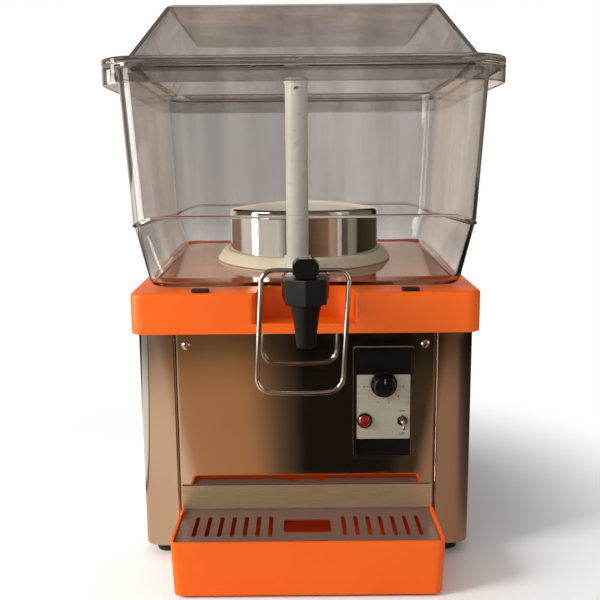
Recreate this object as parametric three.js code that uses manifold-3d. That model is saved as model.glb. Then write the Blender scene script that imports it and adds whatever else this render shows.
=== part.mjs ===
// Lemonade dispenser: a clear bowl with a hip-roofed lid over a chilled cabinet,
// a push-back tap in front and a drip tray below it.
// Millimetres, +Z up, -Y to the front. The origin is on the table, under the middle of the machine.
import * as THREE from 'three';
import { mergeVertices } from 'three/addons/utils/BufferGeometryUtils.js';
import Module from 'manifold-3d';

const wasm = await Module();
wasm.setup();

// Fits and facets
const gap = 0.3;
const overrun = 6;
const weld = 0.0001;
const cornerSteps = 4;
const edgeSteps = 2;
const roundSides = 32;
const middleSides = 20;
const smallSides = 8;
const hexSides = 6;
const fullTurn = 360;
const slotSteps = 1;

// Feet
const footHeight = 14;
const footTopRadius = 15;
const footBaseRadius = 12.5;
const footInset = 23;
const footSetback = 26;
const footRecessRadius = 4;
const footRecessDepth = 7;

// Cabinet shell
const cabinetWidth = 366;
const cabinetDepth = 372;
const cabinetHeight = 250;
const cabinetCornerRadius = 20;
const sheet = 1.2;
const sheetReturn = 12;
const bendRadius = 2.5;
const pillarWidth = 42;

// Side vents and rear louvres
const ventCount = 9;
const ventLength = 70;
const ventHeight = 4;
const ventPitch = 11;
const ventBackInset = 40;
const ventRise = 40;
const louvreCount = 6;
const louvreColumns = 3;
const louvreLength = 84;
const louvreHeight = 5;
const louvrePitch = 20;
const louvreColumnPitch = 104;
const louvreRise = 52;
const louvreHoodReach = 5;
const louvreHoodSheet = 1;

// Base pan and the two tongues that carry the tray
const panSheet = 1.5;
const panFlange = 14;
const panFrontFlangeWidth = 240;
const tongueWidth = 22;
const tongueReach = 74;
const tongueSideInset = 93;

// Deck
const deckSideOverhang = 5;
const deckFrontLip = 8;
const deckBackLip = 10;
const deckFrontHeight = 44;
const deckOverhang = 7;
const deckSlope_share = 0.05;
const deckCornerRadius = 16;
const deckEdgeRound = 4;
const deckWall = 3;
const deckShoulder = 12;
const notchWidth = 104;
const notchDepth = 46;
const notchLip = 11;
const notchInnerRadius = 24;
const notchMouthRadius = 8;
const padWidth = 19;
const padDepth = 9;
const padHeight = 3.4;
const padSideInset = 76;
const padSetback = 8;

// Evaporator drum and its gasket
const drumRadius = 95;
const drumSetback = 20.5;
const drumRise = 78;
const drumDomeRise = 9;
const drumEdgeRound = 4;
const drumSheet = 1.5;
const drumFlangeRadius = 104;
const drumFlangeSheet = 2;
const gasketRadius = 111;
const gasketThickness = 3;
const gasketEdge = 2.5;
const gasketLip = 8;
const gasketLipRise = 13;

// Bowl
const bowlTopFlare = 9;
const bowlTopDepth = 363;
const bowlOverhang = 10;
const bowlKinkFlare = 15.5;
const bowlKinkFrontInset = 11;
const bowlKinkBackInset = 8;
const bowlKinkFrontRise = 75;
const bowlKinkSideRise = 64;
const bowlFootSideInset = 17;
const bowlFootFrontInset = 19;
const bowlFootBackInset = 20;
const bowlTopCornerRadius = 38;
const bowlKinkCornerRadius = 38;
const bowlFootCornerRadius = 30;
const bowlWall = 4;
const bowlRise = 231;
const bowlHoleClearance = 7;
const bowlCollarWall = 3;
const bowlCollarRise = 6;
const rimOverhang = 14.5;
const rimDepth = 20;
const rimWall = 3;
const rimCornerRadius = 46;

// Outlet boss in front of the bowl
const bossWidth = 50;
const bossTopRise = 19;
const bossDepth = 38;
const bossRound = 18;
const bossWall = 4;
const bossReach = 24;
const bossTail = 34;

// Tap
const tapReach = 53;
const tapHexWidth = 41;
const tapHexFall = 12.5;
const tapHexRise = 13.5;
const tapCollarHeight = 4;
const tapChamberRadius = 11;
const tapSeatRadius = 5.5;
const tapSeatInset = 3;
const tapSeatRise = 4;
const tapPortDrop = 14.5;
const tapPortRadius = 6;
const tapSpigotRadius = 10;
const tapSpigotReach = 9;
const tapNeckRadius = 13;
const spoutTopRadius = 16;
const spoutMiddleRadius = 13;
const spoutTipRadius = 9.5;
const spoutMiddleDrop = 14;
const spoutLength = 44;
const spoutBoreRadius = 6;
const sealThickness = 2.1;
const sealWidth = 2.6;

// Tap head, which guides the stem and carries the handle
const headWidth = 26;
const headHeight = 20;
const headChamfer = 5.5;
const headFrontReach = 6;
const headBackReach = 12;
const headPlugDepth = 5;
const headPocketWidth = 12.4;
const handleOffset = 9;
const handleRise = 8.7;

// Wire handle and its lifting fork
const wireRadius = 2.4;
const wireWidth = 86.6;
const wireDrop = 123;
const wireTopRadius = 12;
const wireFootRadius = 15;
const wireFootBow = 3;
const wireLean = 7;
const wireSteps = 46;
const wireSides = 8;
const wireBendPull_share = 0.55;
const wireEndInset = 2;
const hubRadius = 3.9;
const hubWidth = 11.2;
const forkLength = 14;
const forkThickness = 3;
const forkTineWidth = 2.4;

// Valve plunger and its spring
const stemRadius = 2.5;
const stemClearance = 0.4;
const stemHeadRadius = 5.4;
const stemHeadThickness = 2.5;
const stemHeadLift = 2;
const valveDiscRadius = 9;
const valveDiscThickness = 3;
const springRadius = 5.6;
const springWireRadius = 0.6;
const springTurns = 4;
const springStepsPerTurn = 8;
const springSides = 5;

// Lid
const lidFlange = 3;
const lidEdgeDepth = 5.7;
const lidRoofHeight = 63;
const lidRoofInset = 42;
const lidRoofSideSetback = 24;
const lidRoofFrontSetback = 21;
const lidRoofFootRadius = 16;
const lidRoofTopRadius = 9;
const lidWall = 3;
const lidLipDepth = 7;
const lidLipWall = 2.5;
const lidLipClearance = 1.7;

// Spray tube, pump and drive
const tubeX = -8;
const tubeSetforward = 130;
const tubeRadius = 12.5;
const tubeBoreRadius = 9.5;
const tubeTopDrop = 6;
const tubeCapRadius = 13.5;
const tubeCapHeight = 7;
const tubeSlotWidth = 5;
const tubeSlotHeight = 4;
const pumpRadius = 18.5;
const pumpWall = 2.5;
const pumpRoofRise = 14;
const pumpSocketRise = 5;
const pumpSocketDepth = 6;
const pumpSocketWall = 2;
const pumpWindowWidth = 12;
const pumpWindowHeight = 4;
const pinRadius = 2;
const impellerRadius = 14;
const impellerHubRadius = 5;
const impellerBlades = 5;
const impellerBladeThickness = 1.6;
const impellerDisc = 1.4;
const impellerClearance = 0.6;
const magnetRadius = 13;
const magnetThickness = 6;
const magnetClearance = 1;
const motorRadius = 20;
const motorHeight = 30;
const motorShaftRadius = 2.5;
const bracketSheet = 1.5;
const bracketDepth = 26;
const bracketSpan = 52;

// Control panel
const panelSideInset = 99;
const panelDrop = 86;
const bezelWidth = 66;
const bezelHeight = 125;
const bezelBorder = 3;
const bezelThickness = 3;
const plateThickness = 1.5;
const plateOverlap = 3;
const dialPlateWidth = 58;
const dialPlateHeight = 72;
const dialPlateDrop = 4;
const dialPlateThickness = 0.8;
const knobRise = 22;
const knobBaseRadius = 13;
const knobTipRadius = 11;
const knobSkirtRadius = 14.5;
const knobSkirtDepth = 3;
const knobLength = 15;
const knobFlutes = 10;
const knobFluteRadius = 1.4;
const fluteSides = 6;
const shaftRadius = 3;
const bushingRadius = 4.5;
const thermostatWidth = 40;
const thermostatHeight = 34;
const thermostatDepth = 30;
const lowerRowDrop = 19;
const lowerRowSpread = 41;
const lampRadius = 8.4;
const lampRingDepth = 1.6;
const lampDome = 4;
const lampBodyRadius = 6;
const lampBodyDepth = 22;
const toggleBushingRadius = 3.2;
const toggleBushingReach = 7;
const toggleNutWidth = 11;
const toggleNutThickness = 2.2;
const toggleBodyWidth = 11;
const toggleBodyHeight = 22;
const toggleBodyDepth = 20;
const leverBallRadius = 2.4;
const leverNeckRadius = 1.3;
const leverTipRadius = 2.2;
const leverLength = 13;
const leverTilt = 15;
const screwSideInset = 54;
const screwHeadRadius = 4.8;
const screwHeadHeight = 2.6;
const screwShankRadius = 2;
const screwShankLength = 9;
const screwDrop = 20.5;
const screwSocketRadius = 1.7;
const screwSocketDepth = 1.5;

// Drip tray
const traySideInset = 44;
const trayFootInset = 2;
const trayHeight = 58;
const trayGroundRise = 3;
const trayReach = 90;
const trayWall = 3;
const trayFloor = 2.4;
const trayCornerRadius = 9;
const trayBackInset = 0.6;
const trayLedge = 3;
const grilleRecess = 4;

// Grille
const grilleSheet = 1.2;
const grilleUpstand = 28;
const grilleBackInset = 1.4;
const grilleSideClearance = 0.6;
const grilleSlotCount = 7;
const grilleSlotWidth = 5;
const grilleSlotLength = 40;
const grilleSlotPitch = 12.5;
const grilleSlotInset = 11;
const windowWidth = 50;
const windowDepth = 30;
const fingerRadius = 6;
const fingerSpacing = 34;

// Cooling unit
const compressorSideInset = 111;
const compressorY = 205;
const compressorRadius = 58;
const compressorHeight = 150;
const compressorPlate = 3;
const compressorPlateWidth = 132;
const compressorFootRadius = 9;
const compressorFootHeight = 14;
const compressorStubRadius = 4;
const compressorStubHeight = 16;
const condenserSideInset = 107;
const condenserWidth = 150;
const condenserHeight = 150;
const condenserDepth = 36;
const condenserBackInset = 12;
const condenserFins = 7;
const finSheet = 0.8;
const condenserTubeRadius = 4.5;
const condenserTubeRows = 2;
const condenserTubeSides = 6;
const condenserEndSheet = 1.5;
const fanRadius = 60;
const fanHubRadius = 13;
const fanHubDepth = 12;
const fanBlades = 5;
const fanBladeSheet = 1.5;
const fanBladeWidth = 30;
const fanBladeShoulder_share = 0.9;
const fanPitchAngle = 28;
const fanClearance = 6;
const fanMotorRadius = 24;
const fanMotorDepth = 46;
const fanShaftReach = 8;
const fanStandWidth = 34;
const fanStandSheet = 3;
const fanStandFoot = 30;

// Cord gland on the rear panel
const glandSideInset = 53;
const glandRise = 24.5;
const glandRadius = 8;
const glandBoreRadius = 4;
const glandFlangeRadius = 12;
const glandFlangeDepth = 3;
const glandReach = 9;

// Places worked out from the sizes above. Y is counted here from the face of the front panel.
const tongueX = cabinetWidth / 2 - tongueSideInset;
const screwX = cabinetWidth / 2 - screwSideInset;
const panelX = cabinetWidth / 2 - panelSideInset;
const condenserX = cabinetWidth / 2 - condenserSideInset;
const compressorX = compressorSideInset - cabinetWidth / 2;
const glandX = glandSideInset - cabinetWidth / 2;
const trayWidth = cabinetWidth - 2 * traySideInset;
const deckWidth = cabinetWidth + 2 * deckSideOverhang;
const padX = deckWidth / 2 - padSideInset;
const bowlFootWidth = deckWidth - 2 * bowlFootSideInset;
const bowlKinkWidth = bowlFootWidth + 2 * bowlKinkFlare;
const bowlTopWidth = bowlKinkWidth + 2 * bowlTopFlare;
const cabinetTop = footHeight + cabinetHeight;
const panTop = footHeight + panSheet;
const panFront = cabinetCornerRadius + gap;
const deckFront = -deckFrontLip;
const deckBack = cabinetDepth + deckBackLip;
const deckDepth = deckBack - deckFront;
const deckCentre = (deckFront + deckBack) / 2;
const deckBottom = cabinetTop - deckOverhang;
const notchFloor = deckBottom + notchLip;
const deckTop = (y) => deckBottom + deckFrontHeight + deckSlope_share * (y - deckFront);
const deckUnder = (y) => deckTop(y) - deckWall;
const bowlUnder = (y) => deckTop(y) + gap + gasketThickness + gap;
const bowlFloor = (y) => bowlUnder(y) + bowlWall;
const bowlFront = -bowlOverhang;
const bowlBack = bowlFront + bowlTopDepth;
const bowlCentre = (bowlFront + bowlBack) / 2;
const bowlHeight = bowlUnder(0) + bowlRise;
const bowlKinkFrontHeight = bowlUnder(0) + bowlKinkFrontRise;
const bowlKinkSideHeight = bowlUnder(0) + bowlKinkSideRise;
const drumY = bowlCentre + drumSetback;
const drumRimHeight = bowlUnder(0) + drumRise;
const bossTopHeight = bowlUnder(0) + bossTopRise;
const tapPortHeight = bossTopHeight - tapPortDrop;
const tapHexFoot = tapPortHeight - tapHexFall;
const tapHexTop = tapPortHeight + tapHexRise;
const tapSeatHeight = tapHexFoot + tapSeatInset;
const spoutMiddleHeight = tapHexFoot - spoutMiddleDrop;
const spoutTipHeight = tapHexFoot - spoutLength;
const headFoot = tapHexTop + gap;
const handleHeight = headFoot + handleRise;
const tubeY = drumY - tubeSetforward;
const tubeTop = bowlHeight - tubeTopDrop;
const pumpRoofHeight = bowlFloor(0) + pumpRoofRise;
const tubeFoot = pumpRoofHeight + pumpSocketRise;
const rimWidth = bowlTopWidth + 2 * rimOverhang;
const rimLength = bowlTopDepth + 2 * rimOverhang;
const lidTop = bowlHeight + gap + lidEdgeDepth;
const handleY = -tapReach - handleOffset;
const panelZ = cabinetTop - panelDrop;
const glandZ = panTop + glandRise;
const knobZ = panelZ + knobRise;
const lowerRowZ = panelZ - lowerRowDrop;
const lampX = panelX - lowerRowSpread / 2;
const toggleX = panelX + lowerRowSpread / 2;
const plateFront = -gap - plateThickness;
const dialFront = plateFront - gap - dialPlateThickness;
const trayTop = trayGroundRise + trayHeight;
const grilleTop = trayTop - grilleRecess;
const trayInner = panTop + gap + trayFloor;
const machineFront = -trayReach;
const machineBack = deckBack;

// Materials
const finish = (color, roughness, metalness, extra = {}) => (
  new THREE.MeshStandardMaterial({ color, roughness, metalness, flatShading: true, ...extra })
);
const mirrorSteel = finish(0xc9c4be, 0.08, 1);
const brushedSteel = finish(0xa8a19a, 0.35, 1);
const zincSteel = finish(0x9a9c9e, 0.5, 0.8);
const orangePlastic = finish(0xf26a1e, 0.35, 0);
const clearPlastic = finish(0xcfcac4, 0.08, 0, { transparent: true, opacity: 0.35 });
const milkyPlastic = finish(0xe9e6e0, 0.35, 0, { transparent: true, opacity: 0.8 });
const blackPlastic = finish(0x151515, 0.4, 0);
const blackRubber = finish(0x1b1b1b, 0.8, 0);
const beigeRubber = finish(0xcbb896, 0.7, 0);
const silverPlate = finish(0xc6c1b8, 0.4, 0.6);
const redLens = finish(0xc3161c, 0.2, 0);
const chrome = finish(0xd7d5d2, 0.06, 1);
const enamelBlack = finish(0x1f2022, 0.45, 0.2);
const aluminium = finish(0xb7bbbf, 0.45, 0.9);
const magnetGrey = finish(0x4b4d50, 0.5, 0.5);

const machine = new THREE.Group();
machine.position.y = -(machineFront + machineBack) / 2;

// Shape tools

// A closed solid from a geometry, with its faces turned outwards.
function solid(geometry) {
  const bare = geometry.clone();
  bare.deleteAttribute('normal');
  bare.deleteAttribute('uv');
  const merged = mergeVertices(bare, weld);
  const points = merged.attributes.position.array;
  const corners = Uint32Array.from(merged.index.array);
  const at = (i) => new THREE.Vector3().fromArray(points, 3 * i);
  let volume = 0;
  for (let i = 0; i < corners.length; i += 3) {
    const cross = at(corners[i + 1]).cross(at(corners[i + 2]));
    volume += at(corners[i]).dot(cross);
  }
  if (volume < 0) {
    corners.reverse();
  }
  return new wasm.Manifold(new wasm.Mesh({ numProp: 3, vertProperties: points, triVerts: corners }));
}

function piece(name, body, material, parent = machine) {
  const mesh = body.getMesh();
  const geometry = new THREE.BufferGeometry();
  geometry.setAttribute('position', new THREE.BufferAttribute(mesh.vertProperties, 3));
  geometry.setIndex(new THREE.BufferAttribute(mesh.triVerts, 1));
  const result = new THREE.Mesh(geometry, material);
  result.name = name;
  parent.add(result);
  return result;
}

const join = (...bodies) => bodies.reduce((sum, body) => sum.add(body));
const cut = (body, ...tools) => tools.reduce((rest, tool) => rest.subtract(tool), body);

// A block between two values on each axis.
function block(xs, ys, zs) {
  const size = [xs, ys, zs].map(([low, high]) => high - low);
  const middle = [xs, ys, zs].map(([low, high]) => (low + high) / 2);
  return solid(new THREE.BoxGeometry(...size).translate(...middle));
}

// A round bar between two values on the named axis, through the point given on the other two.
function bar(axis, radius, from, to, at, sides = middleSides) {
  const geometry = new THREE.CylinderGeometry(radius, radius, to - from, sides);
  geometry.translate(0, (from + to) / 2, 0);
  if (axis === 'x') {
    geometry.rotateZ(-Math.PI / 2).translate(0, ...at);
  } else if (axis === 'y') {
    geometry.translate(at[0], 0, at[1]);
  } else {
    geometry.rotateX(Math.PI / 2).translate(...at, 0);
  }
  return solid(geometry);
}

// A round hole, with the middles of its flats at the radius.
const bore = (axis, radius, from, to, at, sides = smallSides) => (
  bar(axis, radius / Math.cos(Math.PI / sides), from, to, at, sides)
);

// A profile of [radius, height] points turned about a vertical axis.
function turned(profile, sides = middleSides) {
  const points = profile.map(([radius, height]) => new THREE.Vector2(radius, height));
  return new THREE.LatheGeometry(points, sides).rotateX(Math.PI / 2);
}

// A flat outline in X and Y, raised from one height to another.
function raised(shape, from, to, steps = cornerSteps) {
  const settings = { depth: to - from, bevelEnabled: false, curveSegments: steps };
  return new THREE.ExtrudeGeometry(shape, settings).translate(0, 0, from);
}

// An outline drawn in X and Z, run along Y from one value to another.
function alongY(shape, from, to, steps = cornerSteps) {
  return raised(shape, -to, -from, steps).rotateX(Math.PI / 2);
}

// An outline drawn in Y and Z, run along X from one value to another.
function alongX(shape, from, to, steps = cornerSteps) {
  return raised(shape, from, to, steps).rotateX(Math.PI / 2).rotateZ(Math.PI / 2);
}

function roundedRectangle(xs, ys, radius) {
  const [left, right] = xs;
  const [front, back] = ys;
  const shape = new THREE.Shape();
  shape.moveTo(left + radius, front);
  shape.lineTo(right - radius, front);
  shape.absarc(right - radius, front + radius, radius, -Math.PI / 2, 0, false);
  shape.lineTo(right, back - radius);
  shape.absarc(right - radius, back - radius, radius, 0, Math.PI / 2, false);
  shape.lineTo(left + radius, back);
  shape.absarc(left + radius, back - radius, radius, Math.PI / 2, Math.PI, false);
  shape.lineTo(left, front + radius);
  shape.absarc(left + radius, front + radius, radius, Math.PI, 1.5 * Math.PI, false);
  return shape;
}

const centred = (width, centre = 0) => [centre - width / 2, centre + width / 2];

// One ring of a loft: a rounded rectangle whose height may depend on Y and on the way the wall faces.
function ring(width, front, back, radius, heightAt) {
  const points = [];
  const signs = [[1, 1], [-1, 1], [-1, -1], [1, -1]];
  signs.forEach(([sideX, sideY], quarter) => {
    for (let i = 0; i <= cornerSteps; i += 1) {
      const angle = (quarter + i / cornerSteps) * (Math.PI / 2);
      const x = sideX * (width / 2 - radius) + radius * Math.cos(angle);
      const y = (front + back) / 2 + sideY * ((back - front) / 2 - radius) + radius * Math.sin(angle);
      points.push(new THREE.Vector3(x, y, heightAt(y, Math.cos(angle) ** 2)));
    }
  });
  return points;
}

// A closed solid through rings that have the same number of points, from the lowest to the highest.
function loft(rings) {
  const count = rings[0].length;
  const top = (rings.length - 1) * count;
  const corners = [];
  for (let level = 0; level < top; level += count) {
    for (let i = 0; i < count; i += 1) {
      const next = (i + 1) % count;
      corners.push(level + i, level + next, level + count + next);
      corners.push(level + i, level + count + next, level + count + i);
    }
  }
  for (let i = 1; i + 1 < count; i += 1) {
    corners.push(0, i + 1, i);
    corners.push(top, top + i, top + i + 1);
  }
  const geometry = new THREE.BufferGeometry();
  const values = rings.flat().flatMap((point) => point.toArray());
  geometry.setAttribute('position', new THREE.Float32BufferAttribute(values, 3));
  geometry.setIndex(corners);
  return geometry;
}

// Leans a geometry so that it lies on the deck, which rises to the back.
function sloped(geometry) {
  const slope = new THREE.Matrix4().set(
    1, 0, 0, 0,
    0, 1, 0, 0,
    0, deckSlope_share, 1, 0,
    0, 0, 0, 1,
  );
  return geometry.applyMatrix4(slope);
}

// A ring that lies on the sloping deck, between two heights given at Y = 0.
function slopedRing(inner, outer, from, to) {
  const profile = [[inner, from], [outer, from], [outer, to], [inner, to], [inner, from]];
  return solid(sloped(turned(profile, roundSides).translate(0, drumY, 0)));
}

// Corner points of a bent sheet, with each bend rounded, in X and Y.
function bentLine(corners, radii) {
  const path = [];
  corners.forEach((corner, i) => {
    if (i === 0 || i === corners.length - 1) {
      path.push(corner);
      return;
    }
    const back = corners[i - 1].clone().sub(corner).normalize();
    const on = corners[i + 1].clone().sub(corner).normalize();
    const start = corner.clone().addScaledVector(back, radii[i]);
    const end = corner.clone().addScaledVector(on, radii[i]);
    const centre = start.clone().add(end).sub(corner);
    for (let step = 0; step <= cornerSteps; step += 1) {
      const turn = (step / cornerSteps) * (Math.PI / 2);
      const out = start.clone().sub(centre).multiplyScalar(Math.cos(turn));
      path.push(centre.clone().add(out).add(end.clone().sub(centre).multiplyScalar(Math.sin(turn))));
    }
  });
  return path;
}

// The plan of a sheet that follows a line, with its thickness on the left of the line.
function sheetOutline(path, thickness) {
  const inner = path.map((point, i) => {
    const before = point.clone().sub(path[Math.max(i - 1, 0)]).normalize();
    const after = path[Math.min(i + 1, path.length - 1)].clone().sub(point).normalize();
    const along = before.add(after).normalize();
    const reach = i > 0 && i + 1 < path.length ? thickness / along.dot(after) : thickness;
    return point.clone().add(new THREE.Vector2(-along.y, along.x).multiplyScalar(reach));
  });
  return new THREE.Shape([...path, ...inner.reverse()]);
}

const point2 = (x, y) => new THREE.Vector2(x, y);

// A flat outline with equal sides and a corner on the X axis.
function polygon(radius, sides) {
  const corners = Array.from({ length: sides }, (_, i) => {
    const angle = (2 * Math.PI * i) / sides;
    return point2(radius * Math.cos(angle), radius * Math.sin(angle));
  });
  return new THREE.Shape(corners);
}

// Cabinet

function makeFoot(name, x, y) {
  const height = footHeight - gap;
  const profile = [
    [0, footRecessDepth],
    [footRecessRadius, footRecessDepth],
    [footRecessRadius, 0],
    [footBaseRadius, 0],
    [footTopRadius, height],
    [0, height],
  ];
  piece(name, solid(turned(profile, smallSides).translate(x, y, 0)), blackRubber);
}

function makeFeet() {
  const x = cabinetWidth / 2 - footInset;
  const front = footSetback;
  const back = cabinetDepth - footSetback;
  makeFoot('foot_front_left', -x, front);
  makeFoot('foot_front_right', x, front);
  makeFoot('foot_rear_left', -x, back);
  makeFoot('foot_rear_right', x, back);
}

function makeBasePan() {
  const halfWidth = cabinetWidth / 2 - sheet - gap;
  const back = cabinetDepth - sheet - gap;
  const flangeTop = panTop + panFlange;
  const sideRun = [panFront + sheetReturn, back - sheetReturn - gap];
  let pan = block([-halfWidth, halfWidth], [panFront, back], [footHeight, panTop]);
  for (const side of [-1, 1]) {
    const edges = [side * halfWidth, side * (halfWidth - panSheet)].sort((a, b) => a - b);
    pan = pan.add(block(edges, sideRun, [footHeight, flangeTop]));
    const tongue = centred(tongueWidth, side * tongueX);
    pan = pan.add(block(tongue, [-tongueReach, panFront + panSheet], [footHeight, panTop]));
  }
  const frontRun = centred(panFrontFlangeWidth);
  pan = pan.add(block(frontRun, [panFront, panFront + panSheet], [footHeight, flangeTop]));
  pan = pan.add(block(frontRun, [back - panSheet, back], [footHeight, flangeTop]));
  piece('base_pan', pan, zincSteel);
}

// A row of flat-ended slots that let air through a side panel.
function sideVents(side) {
  const back = cabinetDepth - ventBackInset;
  const wall = [side * (cabinetWidth / 2 + overrun), side * (cabinetWidth / 2 - overrun)];
  const across = wall.sort((a, b) => a - b);
  const slots = [];
  for (let i = 0; i < ventCount; i += 1) {
    const low = footHeight + ventRise + i * ventPitch;
    slots.push(block(across, [back - ventLength, back], [low, low + ventHeight]));
  }
  return join(...slots);
}

function makeSidePanel(name, side) {
  const outer = cabinetWidth / 2;
  const inner = outer - pillarWidth;
  const corners = [
    point2(inner, sheetReturn),
    point2(inner, 0),
    point2(outer, 0),
    point2(outer, cabinetDepth),
  ];
  const path = bentLine(corners, [0, bendRadius, cabinetCornerRadius, 0]);
  const plan = raised(sheetOutline(path, sheet), footHeight, cabinetTop);
  plan.scale(side, 1, 1);
  piece(name, cut(solid(plan), sideVents(side)), mirrorSteel);
}

function makeFrontPanel() {
  const edge = cabinetWidth / 2 - pillarWidth - gap;
  const corners = [
    point2(-edge, sheetReturn),
    point2(-edge, 0),
    point2(edge, 0),
    point2(edge, sheetReturn),
  ];
  const path = bentLine(corners, [0, bendRadius, bendRadius, 0]);
  const plate = solid(raised(sheetOutline(path, sheet), panTop + gap, cabinetTop));
  const opening = 2 * (bezelBorder + plateOverlap);
  const cutout = block(
    centred(bezelWidth - opening, panelX),
    [-overrun, sheet + overrun],
    centred(bezelHeight - opening, panelZ),
  );
  const holes = [-1, 1].map((side) => bore(
    'y',
    screwShankRadius + gap,
    -overrun,
    overrun,
    [side * screwX, cabinetTop - screwDrop],
  ));
  piece('front_panel', cut(plate, cutout, ...holes), mirrorSteel);
}

function makePanelScrew(name, side) {
  const profile = [
    [0, -screwHeadHeight + screwSocketDepth],
    [screwSocketRadius, -screwHeadHeight + screwSocketDepth],
    [screwSocketRadius, -screwHeadHeight],
    [screwHeadRadius / 2, -screwHeadHeight],
    [screwHeadRadius, -screwHeadHeight / 2],
    [screwHeadRadius, 0],
    [screwShankRadius, 0],
    [screwShankRadius, screwShankLength],
    [0, screwShankLength],
  ];
  const screw = turned(profile, smallSides).rotateX(-Math.PI / 2);
  piece(name, solid(screw.translate(side * screwX, -gap, cabinetTop - screwDrop)), chrome);
}

// One louvre hood: a lip that leans out over its slot.
function louvreHood(x, z) {
  const lip = new THREE.Shape([
    point2(cabinetDepth - sheet, z + louvreHeight),
    point2(cabinetDepth + louvreHoodReach, z),
    point2(cabinetDepth + louvreHoodReach, z + louvreHoodSheet),
    point2(cabinetDepth - sheet, z + louvreHeight + 2 * louvreHoodSheet),
  ]);
  return solid(alongX(lip, ...centred(louvreLength, x)));
}

function makeRearPanel() {
  const edge = cabinetWidth / 2 - sheet - gap;
  const inner = cabinetDepth;
  const corners = [
    point2(edge, inner - sheetReturn),
    point2(edge, inner),
    point2(-edge, inner),
    point2(-edge, inner - sheetReturn),
  ];
  const path = bentLine(corners, [0, bendRadius, bendRadius, 0]);
  let panel = solid(raised(sheetOutline(path, sheet), panTop + gap, cabinetTop));
  const slots = [];
  const hoods = [];
  for (let column = 0; column < louvreColumns; column += 1) {
    const x = (column - (louvreColumns - 1) / 2) * louvreColumnPitch;
    for (let row = 0; row < louvreCount; row += 1) {
      const z = footHeight + louvreRise + row * louvrePitch;
      slots.push(block(centred(louvreLength, x), [inner - overrun, inner + overrun], [z, z + louvreHeight]));
      hoods.push(louvreHood(x, z));
    }
  }
  panel = cut(panel, ...slots);
  panel = join(panel, ...hoods);
  const hole = bore('y', glandRadius + gap, inner - overrun, inner + overrun, [glandX, glandZ]);
  piece('rear_panel', cut(panel, hole), zincSteel);
}

function makeCordGland() {
  const profile = [
    [glandBoreRadius, -glandReach],
    [glandRadius, -glandReach],
    [glandRadius, gap],
    [glandFlangeRadius, gap],
    [glandFlangeRadius, glandFlangeDepth],
    [glandRadius, glandReach],
    [glandBoreRadius, glandReach],
    [glandBoreRadius, -glandReach],
  ];
  const gland = turned(profile, smallSides).rotateX(-Math.PI / 2);
  piece('cord_gland', solid(gland.translate(glandX, cabinetDepth, glandZ)), blackRubber);
}

// Deck

// Plan of the notch in the front of the deck, grown on every side by an allowance.
function notchOutline(grow) {
  const half = notchWidth / 2 + grow;
  const back = deckFront + notchDepth + grow;
  const inner = notchInnerRadius + grow;
  const mouth = notchMouthRadius - grow;
  const shape = new THREE.Shape();
  shape.moveTo(-half - mouth, deckFront - overrun);
  shape.lineTo(half + mouth, deckFront - overrun);
  shape.lineTo(half + mouth, deckFront);
  shape.absarc(half + mouth, deckFront + mouth, mouth, -Math.PI / 2, -Math.PI, true);
  shape.lineTo(half, back - inner);
  shape.absarc(half - inner, back - inner, inner, 0, Math.PI / 2, false);
  shape.lineTo(-half + inner, back);
  shape.absarc(-half + inner, back - inner, inner, Math.PI / 2, Math.PI, false);
  shape.lineTo(-half, deckFront + mouth);
  shape.absarc(-half - mouth, deckFront + mouth, mouth, 0, -Math.PI / 2, true);
  return shape;
}

function deckRing(inset, heightAt) {
  return ring(
    deckWidth - 2 * inset,
    deckFront + inset,
    deckBack - inset,
    deckCornerRadius - inset,
    heightAt,
  );
}

function deckShell() {
  const rings = [deckRing(0, () => deckBottom)];
  for (let i = 0; i <= edgeSteps; i += 1) {
    const angle = (i / edgeSteps) * (Math.PI / 2);
    const inset = deckEdgeRound * (1 - Math.cos(angle));
    const drop = deckEdgeRound * (1 - Math.sin(angle));
    rings.push(deckRing(inset, (y) => deckTop(y) - drop));
  }
  return solid(loft(rings));
}

function deckCavity() {
  const low = solid(loft([
    deckRing(deckWall, () => deckBottom - overrun),
    deckRing(deckWall, () => cabinetTop + gap),
  ]));
  const high = solid(loft([
    deckRing(deckShoulder, () => cabinetTop),
    deckRing(deckShoulder, (y) => deckUnder(y)),
  ]));
  const aboveDeck = deckTop(deckBack) + overrun;
  const notchWalls = solid(raised(notchOutline(deckWall), notchFloor - deckWall, aboveDeck));
  return cut(join(low, high), notchWalls);
}

function makeDeck() {
  const aboveDeck = deckTop(deckBack) + overrun;
  const notch = solid(raised(notchOutline(0), notchFloor, aboveDeck));
  const drumHole = bore('z', drumRadius + gap, deckBottom, aboveDeck, [0, drumY], roundSides);
  piece('deck', cut(deckShell(), deckCavity(), notch, drumHole), orangePlastic);
}

function makeDeckPad(name, side) {
  const plan = roundedRectangle(
    centred(padWidth, side * padX),
    centred(padDepth, deckFront + padSetback),
    padDepth / 4,
  );
  const foot = deckTop(0) + gap;
  const pad = sloped(raised(plan, foot, foot + padHeight));
  piece(name, solid(pad), blackRubber);
}

// Evaporator

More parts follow.
